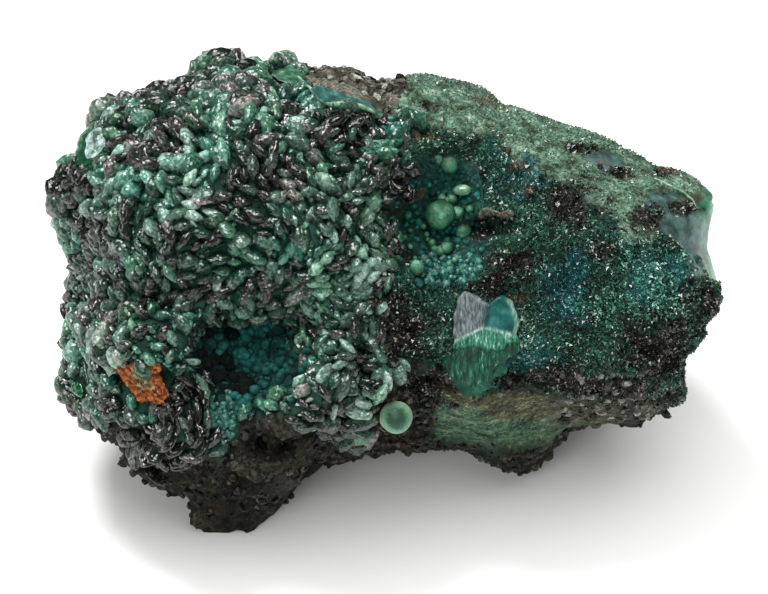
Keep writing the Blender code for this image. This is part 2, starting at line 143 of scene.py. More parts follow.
def scatter(index, stream):
    """A fixed number from 0 to 1 for each index, different for each stream."""
    wave = np.sin(np.asarray(index, float) * 12.9898 + stream * 78.233) * 43758.5453
    return wave - np.floor(wave)


def wobble(index, stream):
    """Three fixed numbers from -0.5 to 0.5 for each index."""
    return np.column_stack([scatter(index, stream + i) for i in range(3)]) - 0.5


def noise(points, size, seed):
    """Smooth noise from -1 to 1: random values on a lattice of that size, blended."""
    lattice = points / size
    cell = np.floor(lattice)
    share = lattice - cell
    share = share * share * (3 - 2 * share)
    total = np.zeros(len(points))
    for corner in product((0, 1), repeat=3):
        weight = np.prod(np.where(corner, share, 1 - share), axis=1)
        total += weight * scatter((cell + corner) @ (1.0, 57.31, 113.97), seed)
    return 2 * total - 1


def unit(vectors):
    vectors = np.atleast_2d(np.asarray(vectors, float))
    return vectors / np.linalg.norm(vectors, axis=1, keepdims=True)


def to_standing(points):
    """Face frame to standing frame: turned back by the lean, and set over the base."""
    a, b, c = np.atleast_2d(points).T
    y = b * sin(FACE_LEAN) - c * cos(FACE_LEAN)
    z = b * cos(FACE_LEAN) + c * sin(FACE_LEAN)
    return np.column_stack([a - BASE_MIDDLE[0], y - BASE_MIDDLE[1], z - REST_LEVEL])


def normal_to_face(normal):
    """A direction of the standing frame as one of the face frame."""
    x, y, z = normal
    b = y * sin(FACE_LEAN) + z * cos(FACE_LEAN)
    c = z * sin(FACE_LEAN) - y * cos(FACE_LEAN)
    return x, b, c


def even_directions(count):
    """Directions spread evenly over an ellipsoid of the rock's proportions."""
    index = np.arange(count) + 0.5
    height = 1 - 2 * index / count
    turn = index * pi * (3 - 5 ** 0.5)
    flat = np.sqrt(1 - height ** 2)
    ball = np.column_stack([height, flat * np.cos(turn), flat * np.sin(turn)])
    return unit(ball * HALF_SPANS)


# --- the shape of the rock --------------------------------------------------------


def ellipse_share(a, b, ellipse):
    """Distance from the middle of an ellipse on the face, as a share: 1 on its rim."""
    (at_a, at_b), (half_a, half_b) = ellipse
    return np.hypot((a - at_a) / half_a, (b - at_b) / half_b)


def blade_cover(points):
    """1 where blades grow, on the left of the face and over its edges, 0 elsewhere."""
    a, b, c = points.T
    edge = 1.0 + 0.10 * b + 1.5 * np.sin(b * 0.35)
    left = np.clip((edge - a) / 2.5, 0, 1)
    above_break = np.clip((b + 0.35 * (a + 21) + 27) / 3, 0, 1)
    front = np.clip((c + 14) / 6, 0, 1)
    bare = np.clip((ellipse_share(a, b, BARE_HOLLOW) - 0.8) / 0.3, 0, 1)
    return left * above_break * front * bare


def rim_radius(angle):
    """Distance from the middle to the rim, by the angle round c; closed and linear."""
    rim = np.array(RIM)
    reach = np.hypot(*rim.T)
    # blades stand past the rock, so the rock itself stays inside the rim there
    reach = reach - 1.3 * blade_cover(np.column_stack([rim, np.zeros(len(rim))]))
    return np.interp(angle, np.arctan2(rim[:, 1], rim[:, 0]), reach, period=2 * pi)


def blurred_rim(angle):
    """The rim without its notches: the mean of nearby angles under a bell curve."""
    offsets = np.linspace(-2, 2, 17)
    weights = np.exp(-(offsets ** 2))
    total = sum(w * rim_radius(angle + RIM_BLUR * o) for w, o in zip(weights, offsets))
    return total / weights.sum()


def walled_radius(directions):
    """How far each direction runs before it meets the rim's cylinder or a wall.

    The reciprocals of the distances are added as a power mean, which rounds the
    corners where two of them meet.
    """
    angle = np.arctan2(directions[:, 1], directions[:, 0])
    across = np.hypot(directions[:, 0], directions[:, 1])
    near_rim = np.exp(-((directions[:, 2] / RIM_BAND) ** 2))
    reach = near_rim * rim_radius(angle) + (1 - near_rim) * blurred_rim(angle)
    total = (across / reach) ** SOFTNESS
    behind = [(normal_to_face(normal), distance) for normal, distance in BACK_WALLS]
    for normal, distance in FACE_WALLS + behind:
        facing = np.clip(directions @ unit(normal)[0], 0, None)
        total += (facing / distance) ** SOFTNESS
    return total ** (-1 / SOFTNESS)


def chipped_radius(directions):
    """The walled radius with small flat breaks cut into it by more, sharper walls."""
    radius = walled_radius(directions)
    normals = even_directions(CHIP_COUNT)
    index = np.arange(CHIP_COUNT)
    normals = unit(normals + 0.25 * np.column_stack([
        scatter(index, 21), scatter(index, 22), scatter(index, 23)
    ]) - 0.125)
    depth = 0.86 + 0.09 * scatter(index, 24)
    distance = walled_radius(normals) * np.where(normals[:, 2] > -0.35, 9, depth)
    facing = np.clip(directions @ normals.T, 0, None)
    chips = ((facing * radius[:, None] / distance) ** CHIP_SHARPNESS).sum(axis=1)
    return radius * (1 + chips) ** (-1 / CHIP_SHARPNESS)


def rim_correction():
    """The factor, by angle, that makes the widest point above the base meet the rim."""
    angles = np.linspace(-pi, pi, 361)
    tilt = np.linspace(radians(40), radians(140), 41)
    grid_angle, grid_tilt = (g.ravel() for g in np.meshgrid(angles, tilt, indexing="ij"))
    directions = np.column_stack([
        np.sin(grid_tilt) * np.cos(grid_angle),
        np.sin(grid_tilt) * np.sin(grid_angle),
        np.cos(grid_tilt),
    ])
    points = directions * chipped_radius(directions)[:, None]
    across = np.hypot(points[:, 0], points[:, 1])
    across[to_standing(points)[:, 2] < 1.0] = 0
    widest = across.reshape(len(angles), -1).max(axis=1)
    return angles, rim_radius(angles) / np.maximum(widest, 1.0)


def domes(a, b, features):
    """Sum of round-topped domes: each falls from its height to 0 as a bell curve."""
    total = np.zeros_like(a)
    for (at_a, at_b), (half_a, half_b), height in features:
        away = ((a - at_a) / half_a) ** 2 + ((b - at_b) / half_b) ** 2
        total += height * np.exp(-(away ** 1.5))
    return total


def rock_points(directions, correction):
    """Surface of the rock in the face frame, for unit directions from its middle.

    The correction by angle fades towards the poles of c, where an angle means little.
    """
    angle = np.arctan2(directions[:, 1], directions[:, 0])
    across = np.clip(np.hypot(directions[:, 0], directions[:, 1]) / 0.5, 0, 1)
    radius = chipped_radius(directions) * (1 + across * (np.interp(angle, *correction) - 1))
    points = directions * radius[:, None]
    rough = 0.75 * noise(points, 9.0, 1) + 0.4 * noise(points, 4.0, 2)
    behind = np.clip(-directions[:, 2] * 1.5, 0, 1)
    rough += behind * (1.2 * noise(points, 13.0, 3) + 0.7 * noise(points, 5.0, 4))
    points += directions * rough[:, None]
    front = np.clip(directions[:, 2] * 2.2, 0, 1)
    a, b = points[:, 0], points[:, 1]
    points[:, 2] += front * (domes(a, b, MOUNDS) - domes(a, b, PITS))
    return points


# Looks of single places on the crystal face: (a, b) and half-widths along a and b.
HOLLOW = ((-18.4, -11.4), (7.6, 5.5))           # velvety inside
HOLLOW_TAIL = ((-23.5, -19.4), (2.0, 5.6))      # band of small botryoids that runs down from it
POCKET = ((8.3, 8.8), (7.0, 9.6))               # lined with malachite
WINDOW_SPOT = ((13.2, -6.6), (5.2, 6.0))        # the rock is even round the window
WINDOW_SMEAR = ((12.6, -12.2), (4.4, 3.4))      # streaked green under the window
WORN_SPOT = ((30.8, 16.9), (2.9, 1.7))          # worn smooth on the slope above the druse
DARK_PATCHES = [                                # blackened by manganese and iron oxides
    ((25.5, 10.6), (3.6, 3.8)), ((15.6, 1.4), (3.4, 2.0)), ((13.4, -0.6), (2.8, 1.8)),
    ((35.6, 8.2), (1.8, 1.9)), ((38.0, -10.0), (4.4, 3.6)), ((43.6, -2.2), (2.6, 2.2)),
    ((32.8, 15.1), (2.0, 0.9)), ((39.2, 15.3), (1.3, 0.7)), ((6.6, 24.6), (1.9, 0.9)),
    ((27.4, 18.4), (1.9, 0.8)), ((42.4, 9.8), (2.2, 0.9)), ((2.6, -7.4), (3.0, 4.6)),
    ((30.8, -15.4), (4.4, 1.4)), ((21.4, -13.6), (5.0, 1.4)), ((13.0, 7.4), (2.2, 1.4)),
    ((6.4, -14.6), (2.8, 2.6)), ((29.6, 3.4), (2.2, 1.6)), ((-1.6, -3.2), (2.4, 2.6)),
]
DARK_CLUMPS = [                                 # blades brown-black to the root
    ((-33.5, 25.0), (2.8, 2.0)), ((-29.6, 19.2), (3.0, 2.6)), ((-43.0, 12.4), (2.6, 2.0)),
    ((-40.4, 6.2), (2.8, 2.2)), ((-19.2, 30.6), (3.6, 2.0)), ((-6.2, 21.6), (4.4, 2.8)),
    ((1.4, 13.6), (3.2, 2.2)), ((-18.0, 0.2), (2.4, 3.0)), ((-27.0, -1.4), (2.6, 2.0)),
    ((-11.0, -5.6), (2.4, 1.8)), ((-31.2, -22.4), (5.6, 5.2)), ((-8.2, -18.4), (5.0, 3.4)),
    ((-29.0, 6.2), (2.4, 1.8)), ((-34.6, 16.0), (2.2, 1.6)), ((-12.2, 12.6), (2.0, 1.6)),
    ((-22.0, 12.4), (2.0, 1.8)), ((-13.6, 22.8), (2.4, 1.8)), ((-37.4, -6.0), (2.0, 1.6)),
]
RUST_SPOTS = [
    ((17.9, 15.8), (1.0, 0.7)), ((19.6, 12.5), (0.9, 0.6)), ((43.0, 11.5), (1.7, 0.5)),
    ((39.6, 15.6), (1.2, 0.6)), ((29.6, 16.4), (1.6, 0.6)), ((18.4, -2.4), (1.0, 0.7)),
    ((14.0, 25.4), (1.6, 0.6)), ((5.0, 19.6), (1.2, 0.6)), ((3.6, 11.6), (1.2, 0.7)),
]
TEAL_SPOTS = [                                  # where the chrysocolla is clear and deep
    ((15.0, 17.8), (1.5, 1.6)), ((23.4, -1.4), (3.4, 2.6)), ((19.4, 14.0), (2.4, 2.4)),
    ((-24.0, -21.6), (1.6, 3.4)), ((8.0, 1.0), (3.0, 1.6)), ((37.6, 0.2), (3.6, 2.6)),
    ((19.0, -11.0), (3.0, 2.4)), ((26.6, 2.0), (2.6, 2.2)),
]
PALE_SPOTS = [((19.4, -8.8), (1.3, 3.6)), ((29.2, 3.4), (2.4, 1.8)), ((33.0, 11.6), (3.0, 1.4))]
# Left edge of the glassy end, as a at each b.
GLASS_EDGE = [(-3.0, 46.6), (0.3, 43.7), (1.7, 41.2), (4.5, 40.4), (6.7, 37.1), (9.7, 34.6), (13.0, 36.5)]
# Lower edges of the slope above the druse, of the blades over the broken foot and of the
# bare grey rock at the top, as b at each a.
CREST = [(2.0, 21.5), (10.0, 20.0), (15.7, 18.2), (35.0, 5.5)]
LIP_EDGE = [
    (-26.0, -31.0), (-24.5, -22.0), (-22.0, -18.8), (-14.5, -18.6), (-12.0, -20.0), (-9.0, -22.0),
    (-3.0, -22.4), (2.0, -21.0),
]
BARE_EDGE = [(-14.0, 31.5), (-11.5, 28.0), (-9.5, 25.6), (-5.0, 24.6), (1.5, 22.6), (2.0, 30.0)]

# Where no blades grow: by the glassy slabs, the clear blades, the scab and the round ball.
CLEARINGS = [
    ((-10.6, 27.6), (4.4, 2.6)), ((-6.0, 24.1), (4.8, 2.5)), ((-1.0, 22.6), (3.0, 1.2)),
    ((-41.4, 19.2), (2.4, 3.0)), ((-34.1, -13.5), (3.7, 2.9)), ((1.0, -18.6), (2.8, 2.8)),
    ((-13.0, 28.8), (1.3, 1.3)),
]
BIG_BLADES = 7000               # directions tried all round for blades, and for the fill
SMALL_BLADES = 11000
DRUSE_POINTS = 120000           # directions tried for each half of the druse
CRUMBS = 15000                  # and for crumbs of broken rock
BOX_SIZE = 5.0                  # the broken rock is pitted with hollows this wide
CLUMP_SIZE = 6.0                # blades grow in clumps this wide
CLUMP_RISE = 3.2                # and this much higher in their middle than between them

# Curved plates stacked like shingles in arcs round a middle: (a, b), first and last
# radius, arcs, first and last angle in degrees, length and darkness of a plate.
PLATE_ARCS = [
    ((-35.2, -10.4), (2.4, 8.6), 6, (142, 222), 5.6, 0.15),     # left fan
    ((-32.6, -19.4), (1.0, 7.0), 7, (-70, 66), 3.4, 0.95),      # dark clump, its right
    ((-30.0, -23.6), (1.6, 6.8), 5, (146, 244), 3.6, 0.95),     # dark clump, its foot
    ((-33.0, -16.8), (2.6, 6.0), 4, (186, 250), 2.8, 0.75),
    ((-2.7, -13.8), (1.8, 7.0), 5, (158, 280), 4.4, 0.3),       # middle fan
    ((-4.2, -16.6), (4.6, 7.2), 3, (20, 52), 2.8, 0.2),
    ((-10.3, 21.0), (0.6, 2.3), 3, (0, 340), 2.4, 1.0),         # dark rosettes on the crest
    ((-4.0, 20.6), (0.6, 2.1), 3, (40, 380), 2.4, 1.0),
    ((1.4, 13.7), (0.6, 2.0), 3, (10, 350), 2.2, 1.0),
]
PLATE_HALF_THICK = 0.48
PLATE_HALF_TALL = 1.35

# Cauliflower lumps in the druse, and undercuts that stay black: (a, b), half-widths, depth.
LUMPY_DRUSE = [((37.0, -0.8), (4.8, 3.8)), ((33.0, 2.4), (3.0, 2.4)), ((30.0, -4.0), (3.0, 2.4))]
UNDERCUTS = [
    ((-19.0, -6.0), (7.0, 2.0), 3.0), ((-12.0, -8.4), (2.4, 3.0), 2.6),
    ((-25.4, -9.0), (1.6, 3.0), 2.0), ((14.6, 7.3), (3.4, 1.5), 4.2),
    ((8.6, 6.6), (2.6, 0.8), 1.6), ((-36.0, -3.2), (6.0, 1.2), 1.8),
    ((-12.2, 5.6), (1.6, 3.0), 2.4), ((-33.0, 11.4), (3.0, 1.2), 2.0),
    ((2.6, 9.0), (1.4, 3.0), 2.0), ((-16.4, -22.6), (2.8, 2.0), 2.4),
    ((-24.0, 20.0), (2.6, 1.4), 1.6), ((-2.0, 8.6), (1.4, 2.6), 1.6),
    ((-30.0, -1.8), (3.4, 1.0), 1.6),
]

# Malachite in the pocket: (a, b) and radius of each ball as it shows.
POCKET_BALLS = [
    ((7.3, 9.2), 2.1), ((9.7, 9.2), 1.0), ((10.6, 7.3), 1.15), ((7.3, 11.4), 0.7),
    ((9.0, 11.1), 0.8), ((8.2, 10.9), 0.6), ((8.2, 16.2), 1.2), ((6.7, 16.9), 0.75),
    ((4.7, 7.3), 0.5), ((5.1, 6.3), 0.46), ((5.4, 5.5), 0.42), ((6.2, 5.0), 0.7),
    ((6.3, 4.2), 0.6), ((7.1, 3.8), 0.85), ((8.3, 4.5), 0.95), ((7.8, 3.9), 0.6),
    ((4.1, 1.2), 1.15), ((3.5, 2.9), 0.42), ((2.3, 9.2), 0.65), ((9.8, 4.5), 0.3),
    ((9.4, 2.5), 0.5), ((10.4, 1.8), 0.55), ((8.4, 2.0), 0.5), ((11.6, 9.8), 0.6),
    ((2.0, 5.6), 0.5), ((2.8, 4.6), 0.45), ((3.0, 6.6), 0.4),
]
CAP = ((10.8, 12.5), (1.3, 0.8, 1.1))           # flat-topped knob on a narrow stalk

# Outline of the glassy window, and its cleaved faces: slope along a and b from their apex.
WINDOW_EDGE = [
    (9.7, -2.5), (10.6, -1.4), (11.8, -1.8), (12.9, -2.9), (14.0, -3.2), (14.6, -2.7),
    (15.9, -2.2), (17.0, -2.8), (17.7, -4.2), (17.8, -7.7), (18.1, -9.6), (16.6, -11.0),
    (14.8, -12.2), (14.0, -14.6), (11.8, -15.2), (9.8, -14.3), (7.8, -12.6), (7.7, -11.2),
    (9.2, -9.8), (9.1, -8.2), (9.2, -5.9), (9.2, -4.2),
]
WINDOW_APEX = (13.2, -6.5)
WINDOW_FACES = {"scratched": (0.24, -0.06), "clear": (-0.16, 0.02), "wedge": (-0.03, 0.48)}
# Flat cleaved slabs: outline on the face, lean along a and b more than the rock's, rise.
TOP_SLAB = (
    [(-10.8, 26.6), (-9.8, 27.0), (-8.5, 26.7), (-6.7, 26.0), (-5.0, 25.3), (-3.9, 25.1), (-2.5, 24.5),
     (-1.4, 23.1), (-3.1, 23.9), (-4.8, 24.4), (-6.3, 24.3), (-7.7, 24.3), (-9.2, 24.7), (-10.1, 25.6)],
    (0.0, 0.1), 2.6,
)
TOP_WING = (
    [(-16.4, 28.9), (-15.2, 29.8), (-13.7, 30.3), (-12.5, 29.2), (-11.3, 27.6), (-10.7, 26.2), (-11.6, 26.2),
     (-13.4, 27.2), (-15.4, 28.0)],
    (0.0, 0.1), 0.7,
)
# Middle lines of the worn band behind the slab and of the pale ridge along its front,
# from the left shoulder down to the druse.
TOP_BAND = [(-12.4, 29.4), (-10.4, 28.1), (-8.5, 27.2), (-6.5, 26.4), (-4.5, 25.4), (-2.2, 24.2)]
TOP_RIDGE = [
    (-13.6, 30.4), (-12.6, 29.2), (-11.4, 27.6), (-10.6, 26.4), (-9.9, 25.3), (-9.2, 24.7), (-7.7, 24.3),
    (-6.3, 24.3), (-4.8, 24.4), (-3.1, 23.9), (-1.3, 23.0),
]
# Middle lines of a flake at the pocket's right and of two pale edges.
POCKET_FLAKE = [(12.9, 8.1), (13.2, 9.2), (13.9, 9.5), (15.0, 9.2), (15.7, 8.8), (17.4, 9.3)]
LIP_RIM = [(-10.0, -19.6), (-6.2, -21.2), (-3.2, -21.6), (-0.1, -21.2)]
END_RIM = [(38.6, 15.0), (42.3, 13.4), (45.0, 11.9), (46.0, 10.4)]
# Lumps with an outline of their own on the face.
SCAB = [(-37.6, -12.2), (-36.4, -11.7), (-34.9, -11.9), (-33.2, -11.5), (-31.4, -12.6),
        (-30.8, -14.4), (-30.6, -16.0), (-33.0, -16.7), (-34.8, -16.2), (-35.8, -14.9), (-36.9, -13.6)]
CLEAR_BLADE = [(-40.8, 22.0), (-42.6, 20.8), (-43.5, 18.6), (-43.5, 16.0), (-42.2, 15.8), (-40.4, 17.4),
               (-39.8, 19.8)]
CLEAR_FACE = [(-41.6, 20.5), (-40.2, 21.2), (-39.6, 20.2), (-40.0, 17.8), (-41.7, 16.8), (-42.0, 18.7)]
CLEAR_TIP = [(-44.2, -14.4), (-43.2, -14.2), (-42.6, -15.2), (-42.8, -16.4), (-43.6, -16.2), (-44.3, -15.4)]


# --- surfaces ---------------------------------------------------------------------


def ball(ring_turns, segments):
    """A unit ball with its poles on X, as points, four-sided faces and pole triangles.

    A point is (cos t, sin t cos s, sin t sin s), for ring turn t and segment turn s.
    """
    turn = 2 * pi * np.arange(segments) / segments
    t, s = np.meshgrid(ring_turns, turn, indexing="ij")
    rings = np.stack([np.cos(t), np.sin(t) * np.cos(s), np.sin(t) * np.sin(s)], axis=-1)
    points = np.vstack([[1, 0, 0], rings.reshape(-1, 3), [-1, 0, 0]])
    at = 1 + np.arange(t.size).reshape(t.shape)
    after = np.roll(at, -1, axis=1)
    quads = np.stack([at[:-1], at[1:], after[1:], after[:-1]], axis=-1).reshape(-1, 4)
    near = np.stack([np.zeros(segments, int), at[0], after[0]], axis=-1)
    far = np.stack([at[-1], np.full(segments, len(points) - 1), after[-1]], axis=-1)
    return points, quads, np.vstack([near, far])


def even_rings(count):
    return pi * (np.arange(count) + 1) / (count + 1)


def faceted(template, count, seed, depth):
    """A ball cut by flat facets: each point is drawn in until it lies inside them all."""
    points, quads, tris = template
    normals = even_directions(count)
    index = np.arange(count)
    normals = unit(normals / HALF_SPANS + 0.5 * wobble(index, seed))
    reach = depth + (1 - depth) * scatter(index, seed + 5)
    facing = np.clip(points @ normals.T, 0.01, None)
    return points * np.minimum(1, (reach / facing).min(axis=1))[:, None], quads, tris


def skin(name, points, faces, finish, smooth=True, **values):
    """A mesh object of face-frame points; each value is stored at every point."""
    mesh = bpy.data.meshes.new(name)
    standing = to_standing(points) * MM
    mesh.from_pydata(standing.tolist(), [], [face for block in faces for face in block.tolist()])
    for key, numbers in values.items():
        stored = mesh.attributes.new(key, "FLOAT", "POINT")
        stored.data.foreach_set("value", np.broadcast_to(numbers, len(points)).astype(np.float32))
    mesh.polygons.foreach_set("use_smooth", np.full(len(mesh.polygons), smooth))
    mesh.materials.append(finish)
    mesh.update()
    made = bpy.data.objects.new(name, mesh)
    bpy.context.scene.collection.objects.link(made)
    return made


def copies(template, seats, along, out, sizes, bend=0.0):
    """One mesh of many: each copy's X runs along, its Z out, and it is drawn to its size.

    Y is the cross product of out and along, and is shifted by bend times X squared; the
    faces are the template's, renumbered.
    """
    points, quads, tris = template
    along = unit(along - out * np.sum(along * out, axis=1, keepdims=True))
    axes = np.stack([along, np.cross(out, along), out], axis=1)
    drawn = points[None] * sizes[:, None]
    drawn[:, :, 1] += np.reshape(bend, (-1, 1)) * drawn[:, :, 0] ** 2
    placed = seats[:, None] + np.einsum("nki,nij->nkj", drawn, axes)
    step = (np.arange(len(seats)) * len(points))[:, None, None]
    quads = (quads[None] + step).reshape(-1, 4)
    tris = (tris[None] + step).reshape(-1, 3)
    return placed.reshape(-1, 3), (quads, tris)


def cells(points, size, seed):
    """Distance to the nearest of many scattered seeds, in cell sizes, and its number.

    There is one seed in each cell of a lattice, put anywhere in it.
    """
    lattice = points / size
    cell = np.floor(lattice)
    nearest = np.full(len(points), 9.0)
    number = np.zeros(len(points))
    for offset in product((-1, 0, 1), repeat=3):
        at = cell + offset
        key = at @ (1.0, 57.31, 113.97)
        place = at + np.column_stack([scatter(key, seed + i) for i in (0.1, 0.2, 0.3)])
        away = np.linalg.norm(lattice - place, axis=1)
        closer = away < nearest
        nearest = np.where(closer, away, nearest)
        number = np.where(closer, key, number)
    return nearest, number


# --- the rock's finishes, by place ------------------------------------------------


def ramp(values, start, end):
    """0 at start, 1 at end, with a smooth slope between them, level outside them."""
    share = np.clip((values - start) / (end - start), 0, 1)
    return share * share * (3 - 2 * share)


def patches(points, table, edge=0.35):
    """1 inside the ellipses of a table and 0 outside, with their edges ragged by noise."""
    a, b = points[:, 0], points[:, 1]
    ragged = 0.8 * noise(points, 3.1, 36) + 0.6 * noise(points, 1.4, 37) + 0.4 * noise(points, 0.6, 38)
    inside = np.zeros(len(points))
    for ellipse in table:
        away = ellipse_share(a, b, ellipse) + ragged
        inside = np.maximum(inside, ramp(away, 1 + edge, 1 - edge))
    return inside * ramp(points[:, 2], -3.0, 2.0)


def finish_shares(points):
    """How much of each finish a point of the rock has, from 0 to 1, by its name."""
    wander = np.column_stack([noise(points, 5.0, seed) for seed in (31, 32, 33)])
    wander += 0.4 * np.column_stack([noise(points, 1.8, seed) for seed in (34, 35, 36)])
    moved = points + 1.3 * wander
    a, b, c = moved.T
    front = ramp(c, -2.0, 3.0)
    hollow = ellipse_share(a, b, HOLLOW) + 0.2 * wander[:, 0]
    tail = ellipse_share(a, b, HOLLOW_TAIL)
    velvet = np.maximum(ramp(hollow, 1.25, 0.95), ramp(tail, 1.2, 0.7)) * front
    pocket = ramp(ellipse_share(a, b, POCKET), 1.1, 0.8) * front
    crest = np.interp(a, *np.array(CREST).T)
    slope = ramp(b - crest, -0.5, 1.5) * ramp(a, -2.0, 0.0) * ramp(c, -12.0, -6.0)
    edge = np.interp(b, *np.array(GLASS_EDGE).T)
    glass = ramp(a - edge, -0.3, 0.6) * ramp(b, 12.6, 11.6) * ramp(c, -12.0, -6.0)
    worn = ramp(ellipse_share(a, b, WORN_SPOT), 1.2, 0.8) * front
    glass = np.maximum(glass, 0.9 * worn)
    below = ramp(b + 0.12 * (a - 6), -14.4, -15.4) * ramp(a, 5.0, 7.5) * ramp(a, 33, 30)
    olive = below * ramp(c, -6.0, -1.0) * ramp(b, -25.0, -22.0)
    streak = ramp(ellipse_share(a, b, WINDOW_SMEAR), 1.15, 0.8) * front
    bare = np.interp(a + 1.5 * wander[:, 1], *np.array(BARE_EDGE).T, left=99, right=99)
    grey = ramp(b - bare, -0.4, 0.8) * ramp(c + 3.0 * wander[:, 2], -11.0, -5.0)
    lip = ramp(b - np.interp(a, *np.array(LIP_EDGE).T, left=-99, right=-99), -0.3, 0.5)
    grey = np.maximum(grey, 0.8 * ramp(a, 21.0, 26.0) * ramp(b, -12.0, -14.5) * front)
    right = ramp(a - 0.10 * b - 1.5 * np.sin(b * 0.35), 0.0, 2.0) * ramp(c, -9.0, -4.0)
    druse = right * ramp(b + 0.15 * (a - 20), -16.0, -13.0) * ramp(b + 0.5 * (a - 8), -17.0, -14.0)
    shares = {
        "blades": blade_cover(moved) * lip * (1 - velvet) * (1 - grey) * (1 - slope),
        "druse": druse * (1 - glass) * (1 - slope) * (1 - pocket) * (1 - olive) * (1 - streak),
        "velvet": velvet,
        "pocket": pocket * (1 - grey),
        "slope": slope * (1 - glass) * (1 - grey),
        "glass": glass,
        "olive": olive * (1 - streak),
        "ledge": olive * (1 - streak) * ramp(b + 0.16 * (a - 6), -17.2, -16.2),
        "streak": streak,
        "rim": 0.9 * glass * ramp(a + 0.1 * b, 43.4, 45.6),
        "grey": grey,
    }
    shares["matrix"] = 1 - np.max(np.stack(list(shares.values())), axis=0)
    return shares


def crusted_points(directions):
    """The rock with the relief of its finishes: clumps, knobs, lumps and rough breaks.

    Each finish adds its own noise and rounded cells along the direction, by its share.
    """
    points = rock_points(directions, CORRECTION)
    shares = finish_shares(points)
    black = patches(points, DARK_PATCHES) * (1 - shares["blades"])
    away, _ = cells(points, CLUMP_SIZE, 41)
    knobs, _ = cells(points, 1.9, 46)
    lumps, _ = cells(points, 3.4, 47)
    mid = noise(points, 4.4, 48)
    fine = 0.5 * noise(points, 2.0, 42) + 0.25 * noise(points, 0.9, 43)
    ridged = 1 - np.abs(noise(points, 3.6, 44)) - np.abs(noise(points, 1.5, 45))
    small, _ = cells(points, 2.9, 49)
    relief = shares["blades"] * (CLUMP_RISE * (0.42 - away ** 1.6) + 0.9 * (0.45 - small))
    broken = 1.3 * fine + 0.9 * ridged + 0.7 * (0.5 - knobs) - 0.3
    behind = ramp(points[:, 2], -2.0, -8.0)
    boxes, _ = cells(points, BOX_SIZE, 55)
    broken += 1.5 * (ramp(boxes, 0.25, 0.75) - 0.6) * (1 - behind)
    relief += shares["matrix"] * broken * (1.5 - 0.5 * behind)
    relief -= shares["matrix"] * behind * 1.8 * ramp(np.abs(noise(points, 7.0, 50)), 0.22, 0.0)
    level = ellipse_share(points[:, 0], points[:, 1], WINDOW_SPOT)
    uneven = 1.5 * mid + 0.9 * (0.5 - lumps) + 1.0 * fine
    relief += shares["druse"] * uneven * ramp(level, 0.7, 1.2)
    relief += patches(points, LUMPY_DRUSE) * 1.7 * (0.45 - knobs)
    relief += shares["velvet"] * (0.55 - knobs) * 1.1
    relief += shares["pocket"] * (0.55 - knobs) * 0.9
    relief += shares["slope"] * (0.35 * mid + 0.5 * fine)
    relief += shares["grey"] * (0.8 * ridged + 0.9 * (0.5 - knobs))
    relief += shares["streak"] * 0.2 * fine
    relief += black * (0.9 * ridged + 0.8 * fine - 0.5)
    points = points + directions * relief[:, None]
    front = np.clip(directions[:, 2] * 2.2, 0, 1)
    points[:, 2] -= front * domes(points[:, 0], points[:, 1], UNDERCUTS)
    return points


def ground(directions):
    """Seats on the crusted rock and the way out of it there, from three close points."""
    side = unit(np.cross(directions, (0.31, 0.52, 0.79)))
    other = np.cross(directions, side)
    step = 0.02
    here = crusted_points(directions)
    along = crusted_points(unit(directions + step * side)) - here
    across = crusted_points(unit(directions + step * other)) - here
    out = unit(np.cross(along, across))
    return here, out * np.sign(np.sum(out * directions, axis=1))[:, None]


def seats_at(a, b):
    """Seats that show at (a, b) on the face: directions bent by their miss, over and over."""
    a, b = np.atleast_1d(a).astype(float), np.atleast_1d(b).astype(float)
    usual_height = 14.0
    aim = np.column_stack([a, b, np.full(len(a), usual_height)])
    for _ in range(16):
        hit = crusted_points(unit(aim))
        aim[:, 0] += 0.6 * (a - hit[:, 0])
        aim[:, 1] += 0.6 * (b - hit[:, 1])
    return ground(unit(aim))


def rock_body(finish):
    """The rock: rings round the way out of the face, each point moved to the surface.

    The rings crowd towards the front, and points under the base are drawn in along
    the line to the middle until they lie on it.
    """
    rings = 218
    segments = 450
    turns = pi * ((np.arange(rings) + 1) / (rings + 1)) ** 1.25
    points, quads, tris = ball(turns, segments)
    sphere = points[:, [1, 2, 0]]
    spread = unit(sphere * HALF_SPANS + (0, 0, FACE_SHARE))
    points = crusted_points(spread)
    height = to_standing(points)[:, 2]
    middle = to_standing((0, 0, 0))[0, 2]
    drawn = np.where(height < 0, middle / np.maximum(middle - height, 1), 1.0)
    points = points * drawn[:, None]
    values = finish_shares(points)
    values["black"] = 0.9 * patches(points, DARK_PATCHES, 0.7)
    values["rust"] = 0.6 * patches(points, RUST_SPOTS, 0.7)
    values["teal"] = patches(points, TEAL_SPOTS)
    values["veins"] = values["matrix"] * ramp(points[:, 2], -4.0, -10.0)
    values["ridges"] = values["matrix"] * ramp(cells(points, BOX_SIZE, 55)[0], 0.6, 0.85)
    return skin("rock_body", points, (quads, tris), finish, **values)


# --- growths ----------------------------------------------------------------------


def jittered_directions(count, seed):
    index = np.arange(count)
    directions = even_directions(count)
    shift = np.column_stack([scatter(index, seed + i) for i in (0.1, 0.2, 0.3)]) - 0.5
    return unit(directions + shift * 2.2 / count ** 0.5)


def tangent(out, turn):
    """Headings on the surface, turned from a by an angle on the crystal face."""
    heading = np.column_stack([np.cos(turn), np.sin(turn), np.zeros(len(out))])
    return unit(heading - out * np.sum(heading * out, axis=1, keepdims=True))


